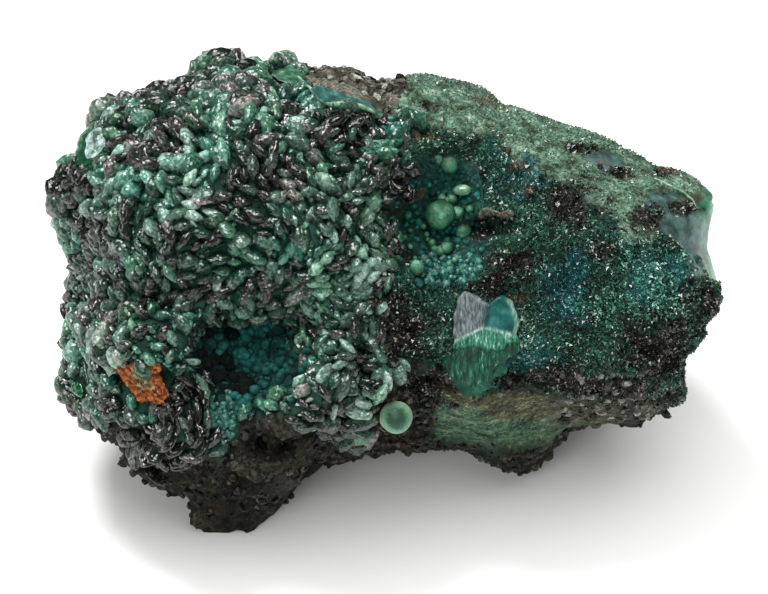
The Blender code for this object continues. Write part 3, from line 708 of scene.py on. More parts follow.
def on_plates(points):
    """True where stacked plates grow: inside the angles and radii of their arcs."""
    found = np.zeros(len(points), bool)
    for middle, (first, last), _, (start, end), *_ in PLATE_ARCS:
        away = points[:, :2] - middle
        radius = np.linalg.norm(away, axis=1)
        turn = (np.degrees(np.arctan2(away[:, 1], away[:, 0])) - start) % 360
        inside = (radius > first - 0.9) & (radius < last + 0.6) & (turn < end - start)
        found |= inside & (points[:, 2] > 0)
    return found


def lumped(placed, centres, count, seed, share):
    """Each copy's points pushed from its centre by noise, as a share of their distance."""
    across = placed - np.repeat(centres, count, axis=0)
    push = noise(placed, 0.9, seed) + 0.4 * noise(placed, 0.45, seed + 1)
    return placed + across * (share * push)[:, None]


def almond(variant, rings, segments):
    """A plump almond on edge, its ends narrow: a ball cut by a few flat facets.

    Its cap is 1 along the top edge and falls to 0 down both sides.
    """
    points, quads, tris = faceted(ball(even_rings(rings), segments), 11, 63 + variant, 0.84)
    points[:, 1:] *= (1 - 0.5 * points[:, :1] ** 2)
    cap = np.where(points[:, 2] > 0, 1 - np.abs(points[:, 1]) / 0.9, -0.5)
    return (points, quads, tris), cap


def blade_crust(finish):
    """Almond-shaped blades on edge, alike in each clump, over a fill of small ones."""
    directions = np.vstack([jittered_directions(BIG_BLADES, 51), jittered_directions(SMALL_BLADES, 151)])
    rough = rock_points(directions, CORRECTION)
    shares = finish_shares(rough)
    covered = (shares["blades"] > 0.35) & (to_standing(rough)[:, 2] > 2.0)
    between = scatter(np.arange(len(rough)), 50) > 0.45     # a few short blades fill in there
    covered &= (between | ~on_plates(rough)) & (patches(rough, CLEARINGS, 0.1) < 0.5)
    tall_ones = (np.arange(len(rough)) < BIG_BLADES)[covered]
    directions, rough = directions[covered], rough[covered]
    seats, out = ground(directions)
    index = np.arange(len(seats))
    away, clump = cells(rough, CLUMP_SIZE, 41)
    turn = 2 * pi * scatter(clump, 52) + 1.5 * (scatter(index, 53) - 0.5)
    lean = 1.2 * (scatter(index, 54) - 0.5)
    along = tangent(out, turn)
    tip = 0.9 * (scatter(index, 64) - 0.5)
    tilted = unit(out + np.cross(out, along) * lean[:, None] + along * tip[:, None])
    big = ramp(seats[:, 1] - 0.25 * seats[:, 0], 16.0, 26.0)
    size = np.where(tall_ones, 0.82 + 0.4 * scatter(index, 55), 0.44 + 0.2 * scatter(index, 55))
    size = size * (1 + 0.3 * big)
    long = size * (1.2 + 0.65 * scatter(index, 56))
    thick = size * (0.6 + 0.26 * scatter(index, 57))
    tall = size * (1.1 + 0.5 * scatter(index, 58))
    raised = np.where(tall_ones, 0.5 * tall, 0.1) + 0.4 * (scatter(index, 65) - 0.5)
    seats = seats + tilted * raised[:, None]
    sizes = np.column_stack([long, thick, tall])
    dark = np.maximum(patches(rough, DARK_CLUMPS, 0.2), 0.8 * (scatter(clump, 59) > 0.86))
    capped = scatter(index, 61) + 0.7 * (0.45 - away) > np.where(tall_ones, 0.8, 1.1)
    hue = 0.3 * scatter(clump, 66) + 0.4 * scatter(index, 68)
    values = {
        "tone": 0.08 + 0.6 * scatter(index, 60) + 0.35 * scatter(clump, 62),
        "hue": hue + 0.3 * ramp(noise(rough, 9.0, 70), -0.4, 0.4),
        "low": np.where(tall_ones, 0.7, 1.1) * ramp(away, 0.35, 0.95) + np.where(tall_ones, 0.0, 0.25),
        "dark": np.maximum(dark, capped),
    }
    pieces = []
    for variant, (rings, segments) in enumerate([(5, 9), (5, 9), (5, 9), (3, 7)]):
        template, cap = almond(variant, rings, segments)
        own = (index % 3 == variant) & tall_ones if variant < 3 else ~tall_ones
        placed, faces = copies(template, seats[own], along[own], tilted[own], sizes[own])
        count = len(cap)
        placed = lumped(placed, seats[own], count, 67, 0.08)
        stored = {key: np.repeat(numbers[own], count) for key, numbers in values.items()}
        # The tip, the height up each blade, drives the painted shade on its lower sides.
        stored["tip"] = np.tile(template[0][:, 2], own.sum())
        stored["cap"] = np.tile(cap, own.sum())
        name = f"blades_{variant + 1}"
        pieces.append(skin(name, placed, faces, finish, smooth=variant < 3, **stored))
    return pieces


def plate_rows(finish):
    """Curved plates stood on edge along arcs, each bent to its arc and leaning outwards.

    An arc is filled end to end; a plate is an oval drawn to its length, bent by X squared
    over twice the radius.
    """
    places, turns, radii, lengths, darks = [], [], [], [], []
    for middle, (first, last), arcs, (start, end), length, dark in PLATE_ARCS:
        for radius in np.linspace(first, last, arcs):
            run = radius * radians(end - start)
            count = max(1, round(run / length))
            share = (np.arange(count) + 0.5) / count
            turn = np.radians(start + (end - start) * share)
            places.append(np.column_stack([np.cos(turn), np.sin(turn)]) * radius + middle)
            turns.append(turn)
            radii.append(np.full(count, radius))
            lengths.append(np.full(count, min(length, 1.1 * run / count)))
            darks.append(np.full(count, dark))
    places, turns = np.vstack(places), np.concatenate(turns)
    radii, lengths, darks = np.concatenate(radii), np.concatenate(lengths), np.concatenate(darks)
    index = np.arange(len(places))
    shift = np.column_stack([scatter(index, 84), scatter(index, 85)]) - 0.5
    seats, out = seats_at(*(places + 0.5 * shift).T)
    along = tangent(out, turns + pi / 2 + 0.3 * (scatter(index, 86) - 0.5))
    lean = 0.25 + 0.5 * (scatter(index, 87) - 0.5)
    tilted = unit(out - np.cross(out, along) * lean[:, None])
    long = 0.5 * lengths * (0.95 + 0.3 * scatter(index, 88))
    thick = PLATE_HALF_THICK * (0.85 + 0.45 * scatter(index, 89))
    tall = PLATE_HALF_TALL * (0.8 + 0.4 * scatter(index, 90))
    template = faceted(ball(even_rings(13), 12), 9, 66, 0.84)
    bend = 0.5 / (radii + 0.8)
    seats = seats + tilted * (0.35 * tall)[:, None]
    sizes = np.column_stack([long, thick, tall])
    placed, faces = copies(template, seats, along, tilted, sizes, bend)
    count = len(template[0])
    placed = lumped(placed, seats, count, 69, 0.10)
    values = {
        "tone": 0.3 + 0.7 * scatter(index, 91) - 0.35 * ramp(darks, 0.6, 0.9),
        "hue": 0.3 * scatter(index, 92),
        "low": 0.2,
        "dark": np.clip(1.15 * darks + 0.4 * (scatter(index, 93) - 0.5), 0, 1),
    }
    stored = {key: np.repeat(np.broadcast_to(numbers, len(index)), count) for key, numbers in values.items()}
    # The tip is raised by 0.25 so that less of each plate takes the painted shade of its lower sides.
    stored["tip"] = np.tile(template[0][:, 2] + 0.25, len(index))
    stored["cap"] = np.tile(1 - np.abs(template[0][:, 1]) / 0.9, len(index))
    return skin("plate_rows", placed, faces, finish, **stored)


def tetrahedron():
    """A three-sided point on Z over a three-sided foot, closed below."""
    turn = 2 * pi * np.arange(3) / 3
    foot = np.column_stack([np.cos(turn), np.sin(turn), np.full(3, -0.5)])
    points = np.vstack([foot, [0, 0, 1]])
    tris = np.array([(0, 1, 3), (1, 2, 3), (2, 0, 3), (0, 2, 1)])
    return points, np.zeros((0, 4), int), tris


def druse_crust(name, finish, seed):
    """Thousands of tiny three-sided crystals over the right of the face."""
    directions = jittered_directions(DRUSE_POINTS, seed)
    rough = rock_points(directions, CORRECTION)
    shares = finish_shares(rough)
    grows = np.maximum(shares["druse"], 0.36 * shares["slope"])
    grows = np.maximum(grows, 0.9 * patches(rough, DARK_PATCHES))
    index = np.arange(len(directions))
    chosen = (grows > 0.25 + 0.6 * scatter(index, seed + 1)) & (rough[:, 2] > -6)
    directions, index = directions[chosen], index[chosen]
    seats, out = ground(directions)
    turn = 2 * pi * scatter(index, seed + 2)
    along = tangent(out, turn)
    out = unit(out + 1.3 * wobble(index, seed + 3))
    size = 0.15 + 0.17 * scatter(index, seed + 7) ** 2
    sizes = np.column_stack([size, size, 1.4 * size])
    template = tetrahedron()
    placed, faces = copies(template, seats, along, out, sizes)
    slope = finish_shares(seats)["slope"]
    values = {
        "tone": scatter(index, seed + 8),
        "black": patches(seats, DARK_PATCHES, 0.8) > 0.12 + 0.8 * scatter(index, seed + 9),
        "rust": patches(seats, RUST_SPOTS, 0.8) > 0.2 + 0.8 * scatter(index, seed + 10),
        "teal": patches(seats, TEAL_SPOTS, 0.9) > scatter(index, seed + 11),
        "pale": patches(seats, LUMPY_DRUSE, 0.9) > scatter(index, seed + 12),
        "slope": slope > scatter(index, seed + 13),
        "crest": np.maximum(
            ramp(slope, 0.05, 0.5) * ramp(slope, 0.95, 0.5) * (scatter(index, seed + 14) > 0.4),
            patches(seats, PALE_SPOTS, 0.8) > 0.3 + 0.8 * scatter(index, seed + 15)),
    }
    values = {key: np.repeat(numbers, len(template[0])) for key, numbers in values.items()}
    return skin(name, placed, faces, finish, smooth=False, **values)


def grit_crust(finish):
    """Angular crumbs of dark rock, of eight cut faces each, over the broken matrix."""
    directions = jittered_directions(CRUMBS, 101)
    rough = rock_points(directions, CORRECTION)
    shares = finish_shares(rough)
    index = np.arange(len(directions))
    grows = np.maximum(shares["matrix"], shares["grey"])
    height = to_standing(rough)[:, 2]
    chosen = (grows > 0.3 + 0.5 * scatter(index, 102)) & (height > 2.2)
    directions, index, rough = directions[chosen], index[chosen], rough[chosen]
    seats, out = ground(directions)
    along = tangent(out, 2 * pi * scatter(index, 103))
    out = unit(out + 1.2 * wobble(index, 104))
    size = 0.28 + 0.62 * scatter(index, 108) ** 2.5 * ramp(rough[:, 2], -16.0, -6.0)
    sizes = size[:, None] * (0.7 + 0.6 * np.column_stack([scatter(index, 109 + i) for i in range(3)]))
    template = faceted(ball(even_rings(3), 5), 7, 113, 0.62)
    placed, faces = copies(template, seats - out * 0.15, along, out, sizes)
    values = {"tone": scatter(index, 112), "grey": finish_shares(rough)["grey"]}
    values = {key: np.repeat(numbers, len(template[0])) for key, numbers in values.items()}
    return skin("matrix_crumbs", placed, faces, finish, smooth=False, **values)


def ball_cluster(name, finish, a, b, radius, rings, segments, raised, facing=None, uneven=1.0):
    """Balls seated at places on the face, each raised by a share of its radius."""
    seats, out = seats_at(a, b)
    radius = np.broadcast_to(radius, len(seats))
    points, quads, tris = ball(even_rings(rings), segments)
    points = points[:, [1, 2, 0]]
    out = out if facing is None else unit(facing).repeat(len(seats), axis=0)
    centres = seats + out * (radius * raised)[:, None]
    along = tangent(out, np.zeros(len(seats)))
    sizes = np.repeat(radius[:, None], 3, axis=1)
    placed, faces = copies((points, quads, tris), centres, along, out, sizes)
    lumpy = 0.16 * noise(placed, 1.1, 82) + 0.07 * noise(placed, 0.45, 81)
    across = placed - np.repeat(centres, len(points), axis=0)
    placed = placed + across * (uneven * lumpy)[:, None]
    chance = np.repeat(scatter(np.arange(len(seats)), 83), len(points))
    pole = np.tile(points[:, 2], len(seats))
    return skin(name, placed, faces, finish, pole=pole, chance=chance)


def spots(count, middle, spans, seed):
    """Places scattered evenly in an ellipse on the crystal face."""
    index = np.arange(count)
    reach = np.sqrt(scatter(index, seed))
    turn = 2 * pi * scatter(index, seed + 0.5)
    return middle[0] + spans[0] * reach * np.cos(turn), middle[1] + spans[1] * reach * np.sin(turn)


def knob(name, finish, at, heading, spans, sink, rough):
    """One lump: a ball drawn to its spans along, across and out, then roughened."""
    seats, out = seats_at(*at)
    along = tangent(out, np.radians([heading]))
    template = ball(even_rings(28), 40)
    sizes = np.array([spans])
    placed, faces = copies(template, seats - out * sink * spans[2], along, out, sizes)
    across = unit(placed - placed.mean(axis=0))
    bumps = noise(placed, 1.3, 95) + 0.5 * noise(placed, 0.6, 96)
    placed = placed + across * (rough * bumps)[:, None]
    middle = np.linalg.norm(template[0][:, :2], axis=1)
    return skin(name, placed, faces, finish, pole=template[0][:, 2], middle=middle)


def outline_reach(arms, turn):
    """How far an outline is from its middle at each turn, by the arms to its corners."""
    return np.interp(turn, np.arctan2(arms[:, 1], arms[:, 0]), np.hypot(*arms.T), period=2 * pi)


def leaning(outline):
    """Middle of an outline, and the height and slope of a plane that clears most rock there."""
    middle = outline.mean(axis=0)
    inner = middle + 0.5 * (outline - middle)
    seats, _ = seats_at(*np.vstack([outline, inner, [middle]]).T)
    arms = np.column_stack([seats[:, :2] - middle, np.ones(len(seats))])
    plane = np.linalg.lstsq(arms, seats[:, 2], rcond=None)[0]
    above = np.percentile(seats[:, 2] - arms @ plane, 85)
    return middle, plane[2] + above, plane[:2]


def slab(name, finish, outline, slope, rise):
    """A cleaved slab: its outline on a plane over the rock, down to a foot drawn in to 0.9.

    The plane leans as the rock does there, and by its own slope; quads join top and foot.
    """
    deep = 4.0
    outline = np.array(outline)[::-1]
    middle, height, lean = leaning(outline)
    top = height + rise + (outline - middle) @ (lean + slope)
    foot = middle + 0.9 * (outline - middle)
    points = np.vstack([np.column_stack([outline, top]), np.column_stack([foot, top - deep])])
    count = len(outline)
    at = np.arange(count)
    after = np.roll(at, -1)
    sides = np.column_stack([after, at, at + count, after + count])
    made = skin(name, points, (at[None], sides, (at[::-1] + count)[None]), finish, smooth=False)
    fix_normals(made)
    bevel = made.modifiers.new("worn_edges", "BEVEL")
    bevel.width = 0.16 * MM
    bevel.segments = 2
    return made


def outlined(name, finish, outline, rise, thick, rough):
    """A flat-topped lump whose rim follows an outline on the face.

    Its reach is the outline's at that angle times sin t to the 0.4, and its height is
    cos t to the 0.5 times half its thickness, for ring turn t; noise roughens both.
    """
    outline = np.array(outline)
    middle, height, lean = leaning(outline)
    arms = outline - middle
    points, quads, tris = ball(even_rings(26), 72)
    points = points[:, [1, 2, 0]]
    across = np.maximum(np.hypot(points[:, 0], points[:, 1]), 1e-6)
    turn = np.arctan2(points[:, 1], points[:, 0])
    reach = outline_reach(arms, turn)
    flat = points[:, :2] / across[:, None] * (reach * across ** 0.4)[:, None]
    dome = 0.5 * thick * np.sign(points[:, 2]) * np.abs(points[:, 2]) ** 0.5
    placed = np.column_stack([middle + flat, height + rise + flat @ lean + dome])
    bumps = noise(placed, 1.1, 95) + 0.6 * noise(placed, 0.5, 96) + 0.4 * noise(placed, 0.25, 97)
    away = unit(placed - (*middle, height + rise))
    placed = placed + away * (rough * bumps)[:, None]
    return skin(name, placed, (quads, tris), finish, smooth=False, middle=across ** 0.4)


def window_block(finish):
    """The glassy window: cleaved faces that meet at an apex, over a nearly level foot.

    Its height over the rock is the lowest of its faces there, or the foot's where that is
    higher; the outline's reach is drawn by ring, and the last rings go down into the rock.
    """
    outline = np.array(WINDOW_EDGE)
    middle, height, lean = leaning(outline)
    arms = outline - middle
    shown = 56                      # rings over the top, before those in the rock
    rings = np.concatenate([np.linspace(0.02, 1.0, shown), [0.97, 0.7, 0.3]])
    turns = np.arcsin(rings)
    turns[shown:] = pi - turns[shown:]
    points, quads, tris = ball(turns, 110)
    across = np.hypot(points[:, 1], points[:, 2])
    turn = np.arctan2(points[:, 2], points[:, 1])
    reach = outline_reach(arms, turn)
    round_it = np.column_stack([np.cos(turn), np.sin(turn)])
    reach = reach * (1 + 0.07 * noise(np.column_stack([round_it, 0 * turn]), 0.22, 99))
    flat = round_it * (reach * across)[:, None]
    spot = middle + flat
    from_apex = spot - WINDOW_APEX
    heights = np.stack([from_apex @ slope for slope in WINDOW_FACES.values()])
    spot_twice = np.column_stack([spot, spot[:, 0]])
    heights += 0.05 * noise(spot_twice, 0.6, 97)
    ordered = np.sort(heights, axis=0)
    foot = -1.2 + 0.08 * (spot[:, 1] + 11) + 0.3 * noise(np.column_stack([spot, spot[:, 1]]), 1.6, 98)
    border = spot[:, 1] + 9.5 + 1.2 * noise(spot_twice, 1.7, 100)
    foot -= 1.2 * np.maximum(border, 0)
    level = np.maximum(ordered[0], foot)
    down = np.where(points[:, 0] > 0, 0.8 * across ** 20, 3.0)
    placed = np.column_stack([spot, height + 1.7 + flat @ lean + level - down])
    over_foot = foot < ordered[0]
    values = {name: (heights[i] == ordered[0]) & over_foot for i, name in enumerate(WINDOW_FACES)}
    between = ordered[1] - ordered[0]
    # Painted shade: dark along the crease where the lowest two faces nearly meet, above the apex.
    values["painted_crease_shade"] = ramp(between, 0.4, 0.0) * ramp(from_apex[:, 1], 0.0, 0.8)
    bruised = ramp(between, 0.2, 0.03) * ramp(from_apex[:, 1], 0.4, -0.4) * over_foot
    # Painted highlight along the clear face's right rim; the white bruise where faces meet below the apex is
    # the stone's own.
    painted_rim_highlight = values["clear"] * ramp(across, 0.84, 0.93) * ramp(spot[:, 0], 16.0, 16.8)
    values["edge"] = np.maximum(bruised, painted_rim_highlight)
    return skin("glassy_window", placed, (quads, tris), finish, smooth=False, **values)


def fix_normals(made):
    work = bmesh.new()
    work.from_mesh(made.data)
    bmesh.ops.recalc_face_normals(work, faces=work.faces)
    work.to_mesh(made.data)
    work.free()


def rib(name, finish, path, wide, high, raised=0.0):
    """A ridge along a path on the face, raised straight out of it, that thins to both ends.

    At share t along the path the oval is drawn by the root of 1 - (2t - 1) to the 4th.
    """
    count = 36                      # ovals along the path, of eight points each
    around = 8
    path = np.array(path, float)
    run = np.concatenate([[0], np.cumsum(np.linalg.norm(np.diff(path, axis=0), axis=1))])
    share = np.linspace(0, 1, count)
    a, b = (np.interp(share * run[-1], run, path[:, i]) for i in range(2))
    seats, out = seats_at(a, b)
    kernel = np.array([1, 2, 3, 2, 1]) / 9
    padded = np.pad(seats, ((2, 2), (0, 0)), mode="edge")
    seats = np.column_stack([np.convolve(padded[:, i], kernel, "valid") for i in range(3)])
    ahead = unit(np.gradient(seats, axis=0))
    side = unit(np.cross(ahead, out))
    out = np.cross(side, ahead)
    thin = np.sqrt(np.clip(1 - (2 * share - 1) ** 4, 0.01, 1))
    turn = 2 * pi * np.arange(around) / around
    turn = turn[None, :, None]
    oval = np.sin(turn) * side[:, None] * wide + np.cos(turn) * out[:, None] * high
    seats = seats + (0, 0, raised)
    rings = seats[:, None] + thin[:, None, None] * oval
    points = np.vstack([rings.reshape(-1, 3), seats[0], seats[-1]])
    at = np.arange(count * around).reshape(count, around)
    after = np.roll(at, -1, axis=1)
    quads = np.stack([at[:-1], after[:-1], after[1:], at[1:]], axis=-1).reshape(-1, 4)
    near = np.stack([np.full(around, count * around), after[0], at[0]], axis=-1)
    far = np.stack([np.full(around, count * around + 1), at[-1], after[-1]], axis=-1)
    made = skin(name, points, (quads, near, far), finish)
    fix_normals(made)
    return made


# --- finishes ---------------------------------------------------------------------


def colour(code):
    """An sRGB hex colour as the linear one that the shader takes."""
    values = [int(code[i:i + 2], 16) / 255 for i in (1, 3, 5)]
    linear = [v / 12.92 if v <= 0.04045 else ((v + 0.055) / 1.055) ** 2.4 for v in values]
    return (*linear, 1.0)


def add(finish, kind, inputs=(), stops=(), **settings):
    """Adds a shader node with its settings, its values and its links.

    A value that is a node is linked from its first live output. Stops are a colour
    ramp's places and hex colours.
    """
    node = finish.node_tree.nodes.new("ShaderNode" + kind)
    for key, value in settings.items():
        setattr(node, key, value)
    for key, value in dict(inputs).items():
        if isinstance(value, bpy.types.Node):
            value = next(socket for socket in value.outputs if socket.enabled)
        if isinstance(value, bpy.types.NodeSocket):
            finish.node_tree.links.new(value, node.inputs[key])
        else:
            node.inputs[key].default_value = value
    for index, (at, code) in enumerate(stops):
        marks = node.color_ramp.elements
        mark = marks[index] if index < 2 else marks.new(at)
        mark.position = at
        mark.color = colour(code)
    return node


def new_finish(name):
    """An empty finish, and where each of its points is on the object."""
    made = bpy.data.materials.new(name)
    made.use_nodes = True
    made.node_tree.nodes.clear()
    return made, add(made, "TexCoord").outputs["Object"]


def surfaced(finish, values):
    """The finish, ended by one principled shader with these values."""
    add(finish, "OutputMaterial", {"Surface": add(finish, "BsdfPrincipled", values)})
    return finish


def value_of(finish, name):
    """The value that the mesh stores under a name at each point."""
    return add(finish, "Attribute", attribute_name=name).outputs["Fac"]


def noisy(finish, where, size, detail, roughness, distortion=0.0):
    """Fractal noise whose largest forms are about that many millimetres wide."""
    return add(finish, "TexNoise", {
        "Vector": where, "Scale": 1 / (size * MM), "Detail": detail, "Roughness": roughness,
        "Distortion": distortion})


def grains(finish, where, size):
    """A random colour for each grain, of a size in millimetres."""
    return add(finish, "TexVoronoi", {"Vector": where, "Scale": 1 / (size * MM)}).outputs["Color"]


def maths(finish, operation, *values):
    """A sum by its name; MULTIPLY_ADD is the first value times the second, plus the third."""
    return add(finish, "Math", dict(enumerate(values)), operation=operation)


def mapped(finish, value, start, end, at_end=1.0, at_start=0.0):
    """A value spread evenly from start to end, and level outside them."""
    return add(finish, "MapRange", {
        "Value": value, "From Min": start, "From Max": end, "To Min": at_start, "To Max": at_end})


def mixed(finish, share, under, over):
    return add(finish, "Mix", {0: share, 6: under, 7: over}, data_type="RGBA")


def colour_ramp(finish, value, stops):
    return add(finish, "ValToRGB", {"Fac": value}, stops)


def coated(finish, tint, name, driver, stops, most=1.0):
    """A tint under a ramp's colours, by a stored share of which the coat takes that much."""
    share = maths(finish, "MULTIPLY", value_of(finish, name), most)
    return mixed(finish, share, tint, colour_ramp(finish, driver, stops))


def bumped(finish, height, strength, distance):
    """A normal for a height that spans that many millimetres."""
    return add(finish, "Bump", {"Height": height, "Strength": strength, "Distance": distance * MM})


def tiny_faces(finish, where, size, steepness):
    """A normal that turns at every cell of that size, as on crystal faces side by side.

    Each cell's height is its own random slope times the distance from its middle.
    """
    cell = add(finish, "TexVoronoi", {"Vector": where, "Scale": 1 / (size * MM)})
    offset = add(finish, "VectorMath", {0: where, 1: cell.outputs["Position"]}, operation="SUBTRACT")
    slope = add(finish, "VectorMath", {0: cell.outputs["Color"], 1: (0.5, 0.5, 0.5)}, operation="SUBTRACT")
    height = add(finish, "VectorMath", {0: offset, 1: slope}, operation="DOT_PRODUCT")
    return add(finish, "Bump", {"Height": height, "Strength": 1.0, "Distance": steepness})


def rock_finish():
    """The rock's crust, which changes from one growth to the next by its shares.

    Broken limonite, drusy and velvety chrysocolla, worn olive and glassy faces: all but
    the glassy end are dull, and the drusy ones are mottled grain by grain.
    """
    made, where = new_finish("crusted_rock")
    mid = noisy(made, where, 3.0, 6.0, 0.68)
    fine = noisy(made, where, 0.7, 4.0, 0.72)
    grain = grains(made, where, 0.35)
    speckled = maths(made, "MULTIPLY_ADD", grain, 0.3, mid)
    drawn = add(made, "Mapping", {"Vector": where, "Rotation": (0.0, 0.1, 0.0), "Scale": (0.3, 0.6, 1.0)})
    layered = noisy(made, drawn, 1.6, 9.0, 0.8)
    layered = maths(made, "MULTIPLY_ADD", grain, 0.25, layered)
    veined = noisy(made, where, 9.0, 4.0, 0.55, 1.2)
    layers = [
        ("matrix", fine, [(0.3, "#050605"), (0.5, "#14150f"), (0.62, "#2a2b20"), (0.78, "#625f4b")]),
        ("druse", grain, [(0.2, "#020504"), (0.45, "#0a2119"), (0.65, "#163c30"), (0.9, "#356350")]),
        ("slope", speckled, [
            (0.46, "#1a2114"), (0.56, "#3b4830"), (0.64, "#4a6655"), (0.73, "#5c8370"), (0.84, "#94a088")]),
        ("velvet", fine, [(0.3, "#031a18"), (0.5, "#0a3d37"), (0.66, "#165c52"), (0.8, "#2f7e71")]),
        ("pocket", fine, [(0.3, "#04120f"), (0.5, "#0d352d"), (0.66, "#1c5648"), (0.8, "#377a67")]),
        ("olive", layered, [
            (0.46, "#0e120c"), (0.55, "#253224"), (0.62, "#33533e"), (0.69, "#446c54"), (0.76, "#6b7452"),
            (0.86, "#a0a888")]),
        ("ledge", layered, [(0.46, "#12120b"), (0.57, "#2f2f20"), (0.67, "#494a34"), (0.82, "#85866a")]),
        ("glass", mid, [
            (0.32, "#1a2c26"), (0.42, "#30453f"), (0.5, "#435d5a"), (0.6, "#577672"), (0.76, "#93b0a8")]),
        ("rim", mid, [(0.34, "#0f4a33"), (0.5, "#2c7757"), (0.7, "#86bda0")]),
        ("streak", mid, [(0.3, "#0c4033"), (0.5, "#22654f"), (0.62, "#4d9078"), (0.8, "#9cc7b3")]),
        ("grey", mid, [(0.32, "#0e0d0a"), (0.44, "#2c2a22"), (0.55, "#504d42"), (0.72, "#93948b")]),
        ("teal", grain, [(0.1, "#011516"), (0.5, "#06383a"), (0.8, "#125355"), (1.0, "#44908a")]),
        ("black", grain, [(0.2, "#040303"), (0.6, "#14100d"), (0.85, "#3a312a"), (1.0, "#8f8478")]),
        ("rust", fine, [(0.3, "#1f140b"), (0.5, "#4a3219"), (0.66, "#6f5028"), (0.8, "#a08655")]),
    ]
    tint = colour_ramp(made, mid, [(0.36, "#0a1f1a"), (0.64, "#285648")])
    for layer in layers:
        tint = coated(made, tint, *layer)
    limonite = mapped(made, mid, 0.5, 0.64, 0.6)
    vein = maths(made, "COMPARE", veined, 0.47, 0.007)
    grainy = mapped(made, fine, 0.42, 0.62, 0.8)
    stains = [("matrix", limonite, "#30271a"), ("veins", vein, "#235243"), ("ridges", grainy, "#4a4b38")]
    for name, stain, code in stains:
        share = maths(made, "MULTIPLY", stain, value_of(made, name))
        tint = mixed(made, share, tint, colour(code))
    glass = value_of(made, "glass")
    dull = mapped(made, glass, 0.0, 1.0, 0.32, 0.7)
    crumbly = mapped(made, glass, 0.0, 1.0, 0.12, 1.0)
    height = maths(made, "MULTIPLY", fine, crumbly)
    rise = bumped(made, height, 1.0, 0.5)
    return surfaced(made, {"Base Color": tint, "Roughness": dull, "Normal": rise, "Specular IOR Level": 0.2})


def blade_finish():
    """Chrysocolla blades under a skin of drusy quartz.

    Each tiny quartz face has its own shade and catches the light by itself: bottle green
    and grey-green where high, clear teal where low, brown-black with pale edges on caps.
    The pale cap edges are partly the crystals' own and partly a painted highlight, and
    each blade's lower sides darken to near black as painted shade between the blades.
    """
    made, where = new_finish("drusy_chrysocolla_blades")
    grain = grains(made, where, 0.38)
    fine = noisy(made, where, 0.6, 4.0, 0.75)
    tone, hue, low, dark, tip, cap = (
        value_of(made, name) for name in ("tone", "hue", "low", "dark", "tip", "cap"))
    half = maths(made, "MULTIPLY", tone, 0.5)
    shade = maths(made, "MULTIPLY_ADD", grain, 0.15, half)
    shade = maths(made, "MULTIPLY_ADD", fine, 0.45, shade)
    greys = [(0.28, "#060c09"), (0.42, "#16271f"), (0.55, "#324e40"), (0.68, "#587a69"), (0.84, "#a9c6b8")]
    greens = [(0.28, "#050e08"), (0.42, "#122c1b"), (0.55, "#235238"), (0.68, "#47795d"), (0.84, "#9cc3a9")]
    teals = [(0.28, "#030e0b"), (0.42, "#0c3029"), (0.55, "#1c5448"), (0.68, "#3f7d6c"), (0.84, "#9bc7b6")]
    browns = [(0.3, "#030303"), (0.5, "#0d0c0b"), (0.62, "#211e1b"), (0.74, "#4a4541"), (0.88, "#a8a39d")]
    grey, green, teal, brown = (
        colour_ramp(made, shade, stops) for stops in (greys, greens, teals, browns))
    greener = mapped(made, hue, 0.35, 0.55)
    body = mixed(made, greener, grey, green)
    bluer = maths(made, "ADD", hue, low)
    bluer = mapped(made, bluer, 0.6, 1.15, 0.9)
    body = mixed(made, bluer, body, teal)
    ragged = maths(made, "MULTIPLY_ADD", fine, 0.5, cap)
    top = mapped(made, ragged, 0.45, 0.75)
    capped = maths(made, "MULTIPLY", top, dark)
    flush = mapped(made, dark, 0.5, 1.0, 0.75)
    capped = maths(made, "MAXIMUM", capped, flush)
    body = mixed(made, capped, body, brown)
    # The pale rim round each cap is partly the crystals' own pale edges and partly a painted highlight.
    line = maths(made, "COMPARE", ragged, 0.5, 0.07)
    broken = mapped(made, fine, 0.5, 0.62, 0.4)
    line = maths(made, "MULTIPLY", line, broken)
    body = mixed(made, line, body, colour("#a9a59c"))
    # Painted shade: each blade darkens to near black down its lower sides, by its height on the blade, as if
    # in shadow between the blades.
    deep = mapped(made, tip, 0.35, -0.6, 0.9)
    body = mixed(made, deep, body, colour("#04110e"))
    rise = tiny_faces(made, where, 0.42, 1.0)
    return surfaced(made, {
        "Base Color": body, "Roughness": 0.16, "Normal": rise,
        "Coat Weight": 0.45, "Coat Roughness": 0.06,
    })


